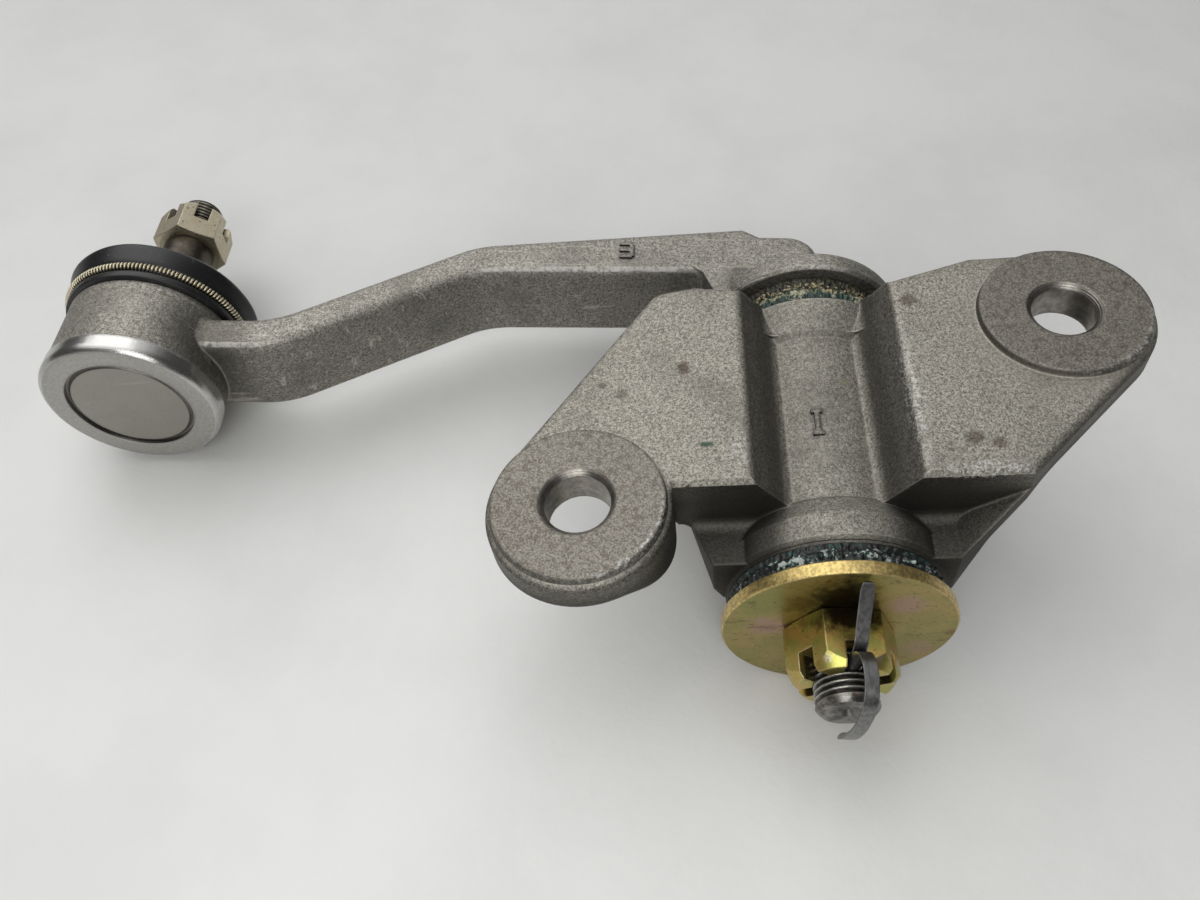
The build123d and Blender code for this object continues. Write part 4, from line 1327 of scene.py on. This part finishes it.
    def build(self) -> None:
        """Make the shaft, the seals and the pin, and dress all that turns on the pivot."""
        shaft = self.shaft.build()
        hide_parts("pivot_shaft")
        steel = ThreadSteel(
            "pivot_shaft_steel",
            (0.28, 0.27, 0.25),
            (0.11, 0.105, 0.095),
            worn=(0.62, 0.61, 0.58),
            rust_share=0.7,
            skin=0.06 * MM,
            span=(-57.6, -36.0),
        )
        dress(shaft, steel.material())
        self.seals()
        self.plated()
        cotter = self.cotter.build()
        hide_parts("cotter_pin")
        wire = Steel(
            "pin_steel",
            (0.215, 0.215, 0.21),
            (0.14, 0.14, 0.138),
            rust=(0.08, 0.07, 0.06),
            rust_share=0.2,
            rough=0.3,
            stretch=(2.0, 2.0, 0.25),
        )
        dress(cotter, wire.material())
        bright, dull, spots = (0.48, 0.31, 0.13), (0.30, 0.18, 0.07), (0.1, 0.06, 0.03)
        made = Steel("bush_bronze", bright, dull, rust=spots).material()
        for name in ("upper_bush", "lower_bush", "upper_thrust_washer", "lower_thrust_washer"):
            dress(self.nodes[name], made)
        LOG.info("pivot stack: shaft, 2 seals, washer, nut, pin, bushes")


@dataclass
class BallJoint:
    """The ball joint: stud and nut, boot and its spring ring, cap, seats.

    Fields: the nodes by name; the stud; the boot's profile as radius and height pairs and
    its points on each stretch and round the axis; the shoulder's inner and outer radius,
    low and high height, bend and chamfer; the spring ring's radius, height, coil radius
    and wire radius; its number of coils, the points to a coil and round the wire, and the
    direction in degrees of its joint. Sizes are in millimetres.
    """

    nodes: dict[str, bpy.types.Object]
    stud: ThreadedBar = field(
        default_factory=lambda: ThreadedBar(
            name="threaded_stud",
            body="stud",
            centre=BALL,
            profile=(
                *((8.96, 28.0), (11.3, 31.2), (12.5, 34.8), (12.7, 37.0), (12.5, 39.2)),
                *((11.6, 42.2), (10.1, 44.7), (7.0, 47.6), (7.0, 48.5), (8.0, 55.0), (8.0, 63.0)),
                *((7.75, 63.0), (6.95, 77.3), (6.0, 77.6), (6.0, 94.2), (4.9, 95.3)),
            ),
            thread_low=77.8 * MM,
            thread_high=97 * MM,
            thread_r=6.0 * MM,
            pitch=1.25 * MM,
            hole_z=85.5 * MM,
            hole_turn=35.2,
            hole_r=1.6 * MM,
        )
    )
    boot_profile: tuple[Pair, ...] = (
        *((20.70, 44.05), (22.90, 44.05), (23.35, 44.35), (23.45, 45.10), (23.40, 45.90)),
        *((22.90, 46.32), (22.38, 46.75), (22.36, 47.50), (22.45, 48.25), (23.20, 48.60)),
        *((23.85, 49.60), (24.50, 51.60), (24.95, 53.30), (24.75, 54.20), (23.90, 55.05)),
        *((21.40, 56.90), (17.60, 58.40), (13.80, 58.95), (11.30, 59.20), (10.85, 60.20)),
        *((10.80, 62.40), (10.20, 62.95), (8.60, 62.95), (8.12, 62.40), (8.12, 58.20)),
        *((9.30, 57.20), (13.60, 56.90), (17.80, 56.20), (21.10, 54.60), (22.60, 53.00)),
        *((22.30, 51.20), (20.90, 49.20), (20.70, 47.80)),
    )
    boot_samples: int = 5
    boot_columns: int = 180
    shoulder_sizes: tuple[float, ...] = (20.65, 22.3, 41.6, 44.0, 0.9, 0.8)
    shoulder_columns: int = 160
    ring_r: float = 23.45
    ring_z: float = 47.45
    coil_r: float = 0.70
    wire_r: float = 0.32
    coils: int = 152
    coil_points: int = 12
    wire_points: int = 6
    joint_turn: float = 200.0

    def boot(self) -> bpy.types.Object:
        """Make the dust boot.

        Its profile is a smooth closed curve of radius and height, carried round the axis.
        The radius grows by 0.12 mm sin(3 angle + 1) + 0.07 mm sin(7 angle), times how far
        the point is above the spring ring, which keeps it slightly out of round.

        Returns:
            The piece's object, at the origin.
        """
        line = eased(self.boot_profile, self.boot_samples) * MM
        turns = angles(self.boot_columns)
        radius, height = line[:, :1], line[:, 1:]
        above = np.clip((height - 49 * MM) / (4 * MM), 0, 1)
        above = above * np.clip((radius - 11 * MM) / (6 * MM), 0, 1)
        uneven = 0.12 * MM * np.sin(3 * turns + 1) + 0.07 * MM * np.sin(7 * turns)
        grid = around(BALL, radius + above * uneven, height, turns)
        piece = shell("rubber_boot", grid, round_rows=True, crease=70.0)
        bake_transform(piece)
        return piece

    def shoulder(self) -> bpy.types.Object:
        """Make the top edge of the housing, on which the boot's lip sits.

        Its section is a rectangle with a chamfer below, whose outer corner at the top is a
        quarter circle: its middle + bend (cos a, sin a), for a from 0 to 90 degrees.

        Returns:
            The piece's object, riding on the arm.
        """
        inner, outer, low, high, bend, chamfer = mm(*self.shoulder_sizes)
        quarter = np.radians(np.linspace(0, 90, 8))
        across, up = outer - bend + bend * np.cos(quarter), high - bend + bend * np.sin(quarter)
        below = (inner, low), (outer - 0.02 * MM, low), (outer, low + chamfer)
        line = np.vstack([below, np.stack([across, up], axis=-1), [(inner, high)]])
        grid = around(BALL, line[:, :1], line[:, 1:], angles(self.shoulder_columns))
        piece = shell("housing_shoulder", grid, round_rows=True)
        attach(piece, "arm")
        return piece

    def spring(self) -> bpy.types.Object:
        """Make the coiled ring that holds the boot.

        The wire's middle line is the ring's point at an angle plus the coil radius times
        (cos of the coils' angle outwards, sin of it upwards), and the coil narrows by a
        third where its two ends hook together. The wire is a circle round that line.

        Returns:
            The piece's object, riding on the arm.
        """
        ring_r, ring_z, coil_r, wire_r = mm(self.ring_r, self.ring_z, self.coil_r, self.wire_r)
        turn = np.linspace(0, TURN, self.coils * self.coil_points, endpoint=False)[:, None]
        from_joint = np.mod(turn - math.radians(self.joint_turn) + math.pi, TURN) - math.pi
        wound = coil_r * (1 - 0.35 * np.exp(-((from_joint / 0.03) ** 2)))
        coil = turn * self.coils
        height = ring_z + wound * np.sin(coil)
        middle = around(BALL, ring_r + wound * np.cos(coil), height, turn)
        core = around(BALL, ring_r, ring_z, turn)
        along = np.roll(middle, -1, axis=0) - np.roll(middle, 1, axis=0)
        along /= np.linalg.norm(along, axis=-1, keepdims=True)
        outward = middle - core
        outward -= (outward * along).sum(axis=-1, keepdims=True) * along
        outward /= np.linalg.norm(outward, axis=-1, keepdims=True)
        aside = np.cross(along, outward)
        wire = angles(self.wire_points)[..., None]
        grid = middle + wire_r * (np.cos(wire) * outward + np.sin(wire) * aside)
        piece = shell("coiled_spring_ring", grid, round_rows=True, crease=180.0)
        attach(piece, "arm")
        return piece

    def turning(self) -> None:
        """Make and dress the stud and the boot."""
        stud = self.stud.build()
        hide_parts("ball_stud")
        steel = ThreadSteel(
            "stud_black_steel",
            (0.125, 0.108, 0.088),
            (0.080, 0.069, 0.056),
            worn=(0.42, 0.39, 0.34),
            rust=(0.12, 0.088, 0.062),
            rough=0.36,
            centre=BALL,
            crest_r=6.0,
            root_share=0.45,
            span=(77.7, 95),
        )
        dress(stud, steel.material())
        boot = self.boot()
        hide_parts("dust_boot")
        black, dust = (0.012, 0.012, 0.013), (0.05, 0.048, 0.045)
        dress(boot, Moulded("boot_rubber_skin", black, dust, 0.16, 0.36).material())

    def housed(self) -> None:
        """Make and dress what sits on the housing, and dress the nut and the cap."""
        shoulder = self.shoulder()
        dress(shoulder, self.nodes["idler_arm"].data.materials[0])
        spring = self.spring()
        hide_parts("boot_ring")
        wire = HollowZinc(
            "spring_wire_zinc",
            (0.80, 0.73, 0.54),
            (0.66, 0.59, 0.41),
            bright_edge=(0.8, 0.76, 0.64),
            specks=0.25,
            rough=0.3,
            centre=BALL,
            # painted shade on the inner half of the coils
            slot_r=self.ring_r + 0.6,
        )
        dress(spring, wire.material())
        nut = HollowZinc(
            "stud_nut_zinc",
            (0.60, 0.54, 0.40),
            (0.52, 0.45, 0.31),
            centre=BALL,
            # painted shade in the nut's slots
            slot_r=8.0,
            bright_edge=(0.74, 0.70, 0.58),
            cloud=4,
            rough=0.36,
            specks=0.85,
        )
        dress(self.nodes["stud_nut"], nut.material())
        cap = Pressed("cap_steel", (0.34, 0.325, 0.288), (0.05, 0.045, 0.04), BALL, 14.8)
        dress(self.nodes["end_cap"], cap.material())

    def build(self) -> None:
        """Make and dress the whole joint."""
        self.turning()
        self.housed()
        disc = Steel("disc_spring_steel", (0.25, 0.24, 0.23), (0.15, 0.145, 0.14))
        dress(self.nodes["seat_spring"], disc.material())
        seat = Moulded("seat_plastic", (0.62, 0.60, 0.54), (0.4, 0.38, 0.33), 0.3, 0.5).material()
        for name in ("lower_seat", "upper_seat"):
            dress(self.nodes[name], seat)
        LOG.info("ball joint: stud, boot, spring ring, nut, cap, seats")


@dataclass
class Forgings:
    """The bracket and the swinging arm, which keep their solids and get their skins.

    Fields: the nodes by name, and where the arm grows out of the ball joint's housing, in
    millimetres, where painted shade darkens the arm.
    """

    nodes: dict[str, bpy.types.Object]
    root: Point = (-155.0, 5.0, 33.0)

    def stains(self) -> tuple[Stain, ...]:
        """List the stains of the bracket's ground faces, its wings and its tube, and the painted
        shade on its left boss.

        Returns:
            The stains.
        """
        rust, dusk = (0.085, 0.062, 0.042), (0.11, 0.09, 0.07)
        face, wing = 0.0, 1.8
        return (
            Stain((-32.4, wing, 13.2), 2.4, rust, 0.75),
            Stain((-51.3, wing, 9.0), 1.5, dusk, 0.6),
            Stain((-46.6, wing, 6.0), 2.2, dusk, 0.5),
            Stain((21.6, wing, 31.0), 2.8, rust, 0.6),
            Stain((29.4, wing, -10.6), 2.6, rust, 0.65),
            Stain((34.3, wing, -12.0), 2.0, rust, 0.6),
            Stain((-53.2, face, -5.8), 1.1, rust, 0.9),
            # painted shade on the left side of the left boss
            Stain((-67.0, face, -28.0), 12, dusk, 0.5),
            Stain((56.0, face, 22.0), 30, (0.36, 0.335, 0.29), 0.6),
            Stain((-44.0, face, -10.2), 1.2, rust, 0.6),
            Stain((66.5, face, 41.2), 3.4, rust, 0.8, (0.6, 1.0, 1.0)),
            Stain((71.4, face, 30.1), 2.6, rust, 0.6),
            Stain((54.5, face, 10.5), 3.2, rust, 0.6, (0.7, 1.0, 1.0)),
            Stain((70.7, face, 13.0), 2.4, rust, 0.6),
            Stain((-27.6, wing, -9.2), 1.3, (0.03, 0.075, 0.05), 0.8, (0.5, 1.0, 1.4)),
            Stain((5.8, 12.0, 14.4), 1.6, (0.36, 0.35, 0.17), 0.6),
            Stain((11.2, 8.5, 19.9), 2.0, (0.30, 0.30, 0.16), 0.5, (1.0, 1.0, 0.6)),
        )

    def build(self) -> None:
        """Dress the two forgings."""
        bracket = BracketForging(
            "bracket_steel",
            (0.325, 0.307, 0.265),
            dark=(0.110, 0.101, 0.083),
            light=(0.66, 0.63, 0.55),
            mark=(-1.9, 10.3, 2.2),
            mark_reach=4.5,
            stains=self.stains(),
        )
        arm = ArmForging(
            "arm_steel",
            (0.325, 0.308, 0.268),
            dark=(0.110, 0.101, 0.086),
            light=(0.66, 0.63, 0.56),
            mark=(-46.8, 14.6, 68.6),
            mark_reach=4.6,
            pit_share=0.3,
            skin=0.14 * MM,
            # painted shade on the arm's steep walls
            steep_wall_shade=0.5,
            # painted shade where the arm meets the housing
            stains=(Stain(self.root, 11, (0.12, 0.112, 0.095), 0.65, (0.8, 0.4, 1.0)),),
        )
        dress(self.nodes["bracket"], bracket.material())
        dress(self.nodes["idler_arm"], arm.material())
        LOG.info("forgings: bracket and idler arm")


@dataclass
class Studio:
    """Pale floor, soft lamps and the camera.

    Fields: a point of the floor, its normal, half its width and its colour; the camera's
    place, right and up directions, sensor and lens; the point that the lamps face, and for
    each lamp its name, place, width and power in watts; and the colours of the room. Sizes
    are in metres, but for the sensor and the lens, which are in millimetres.
    """

    floor_point: Point = (0.0, 59.0 * MM, 0.0)
    floor_normal: Point = (0.1162, -0.9932, 0.0)
    floor_reach: float = 3.0
    floor_colour: Colour = (0.79, 0.79, 0.77)
    camera_at: Point = (-28.0365 * MM, -178.9164 * MM, -142.8377 * MM)
    camera_right: Point = (0.993769, 0.108226, 0.026642)
    camera_up: Point = (0.042572, -0.589485, 0.806657)
    sensor: float = 36.0
    lens: float = 1014.2374 / 1200 * 36.0
    aim: Point = (-0.05, 0.03, 0.02)
    lamps: tuple[tuple[str, Point, float, float], ...] = (
        ("key_lamp", (-0.38, -0.85, 0.35), 1.1, 3.6),
        ("near_lamp", (-0.05, -0.30, -0.38), 0.35, 1.1),
    )
    walls: Colour = (0.10, 0.10, 0.10)
    sides: Colour = (0.04, 0.04, 0.04)
    ceiling: Colour = (0.86, 0.865, 0.87)
    backdrop: Colour = (0.60, 0.60, 0.59)

    def camera(self) -> None:
        """Make the camera and set it as the scene's own."""
        data = bpy.data.cameras.new("camera")
        data.sensor_width = self.sensor
        data.sensor_fit = "HORIZONTAL"
        data.lens = self.lens
        data.clip_start, data.clip_end = 0.01, 10.0
        camera = bpy.data.objects.new("camera", data)
        bpy.context.scene.collection.objects.link(camera)
        right, up = (Vector(v).normalized() for v in (self.camera_right, self.camera_up))
        turn = Matrix((right, up, right.cross(up))).transposed().to_4x4()
        camera.matrix_world = Matrix.Translation(Vector(self.camera_at)) @ turn
        bpy.context.scene.camera = camera

    def paint(self) -> bpy.types.Material:
        """Make the floor's paint, which is clear from behind and far from the part.

        Returns:
            The finished material.
        """
        material = bpy.data.materials.new("floor_paint")
        material.use_nodes = True
        nodes = Nodes(material.node_tree)
        grain = nodes.noise(2.2, 3.0)
        cloud = nodes.noise(60, 4.0, 0.6, 0.3)
        dim = shade(self.floor_colour, 0.93)
        tone = nodes.blend(cloud.between(0.35, 0.7), self.floor_colour, dim)
        inputs = {"Base Color": tone, "Roughness": 0.4, "Normal": nodes.bump(grain, 0.12 * MM)}
        surface = nodes.node(Kind.SURFACE, {}, inputs)
        behind = Signal(nodes, nodes.node(Kind.GEOMETRY, output="Backfacing"))
        away = behind.most(nodes.distance(self.floor_point).between(1.4, 2.6))
        mixed = nodes.node(Kind.MIX_SHADERS, {}, {0: away, 1: surface, 2: nodes.node(Kind.CLEAR)})
        nodes.node(Kind.OUTPUT, {}, {"Surface": mixed})
        return material

    def floor(self) -> None:
        """Make the floor."""
        normal = Vector(self.floor_normal).normalized()
        along = Vector((0, 0, 1)).cross(normal).normalized()
        up = normal.cross(along)
        sides = (-1, -1), (1, -1), (1, 1), (-1, 1)
        reach, middle = self.floor_reach, Vector(self.floor_point)
        corners = [tuple(middle + along * a * reach + up * b * reach) for a, b in sides]
        mesh = bpy.data.meshes.new("floor")
        mesh.from_pydata(corners, [], [(0, 1, 2, 3)])
        mesh.update()
        if mesh.polygons[0].normal.dot(normal) < 0:
            mesh.flip_normals()
        floor = bpy.data.objects.new("floor", mesh)
        bpy.context.scene.collection.objects.link(floor)
        dress(floor, self.paint())

    def light(self) -> None:
        """Add the soft round lamps."""
        for name, at, size, power in self.lamps:
            data = bpy.data.lights.new(name, "AREA")
            data.shape = "DISK"
            data.size = size
            data.energy = power
            lamp = bpy.data.objects.new(name, data)
            bpy.context.scene.collection.objects.link(lamp)
            lamp.location = Vector(at)
            lamp.rotation_mode = "QUATERNION"
            lamp.rotation_quaternion = (Vector(self.aim) - Vector(at)).to_track_quat("-Z", "Y")

    def room(self) -> None:
        """Add the room, with a pale ceiling, dimmer walls and, to the camera, a pale backdrop."""
        world = bpy.data.worlds.new("pale_room")
        world.use_nodes = True
        nodes = Nodes(world.node_tree)
        x, y, z = nodes.axes(nodes.node(Kind.COORDINATES, output="Generated"))
        overhead = (z * 0.42 - y * 0.89 - x * 0.18).between(0.1, 0.95)
        tone = nodes.blend(overhead, self.walls, self.ceiling)
        tone = nodes.blend(x.size().between(0.25, 0.75), tone, self.sides)
        tone = nodes.blend(nodes.node(Kind.LIGHT_PATH, output="Is Camera Ray"), tone, self.backdrop)
        glow = nodes.node(Kind.BACKGROUND, {}, {"Color": tone, "Strength": 1.0})
        nodes.node(Kind.WORLD_OUTPUT, {}, {"Surface": glow})
        bpy.context.scene.world = world

    def build(self) -> None:
        """Set up the camera, the floor and the light."""
        self.camera()
        self.floor()
        self.light()
        self.room()
        bpy.context.scene.view_settings.view_transform = "Standard"
        LOG.info("studio: camera, floor, lamps")


def main() -> None:
    """Load the frame, build and dress each sub-assembly and set the stage."""
    logging.basicConfig(level=logging.INFO, format="%(name)s: %(message)s")
    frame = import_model()
    nodes = frame["nodes"]
    Studio().build()
    Forgings(nodes).build()
    PivotStack(nodes).build()
    BallJoint(nodes).build()
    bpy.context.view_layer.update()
    LOG.info("sizes written")


if __name__ == "__main__":
    main()
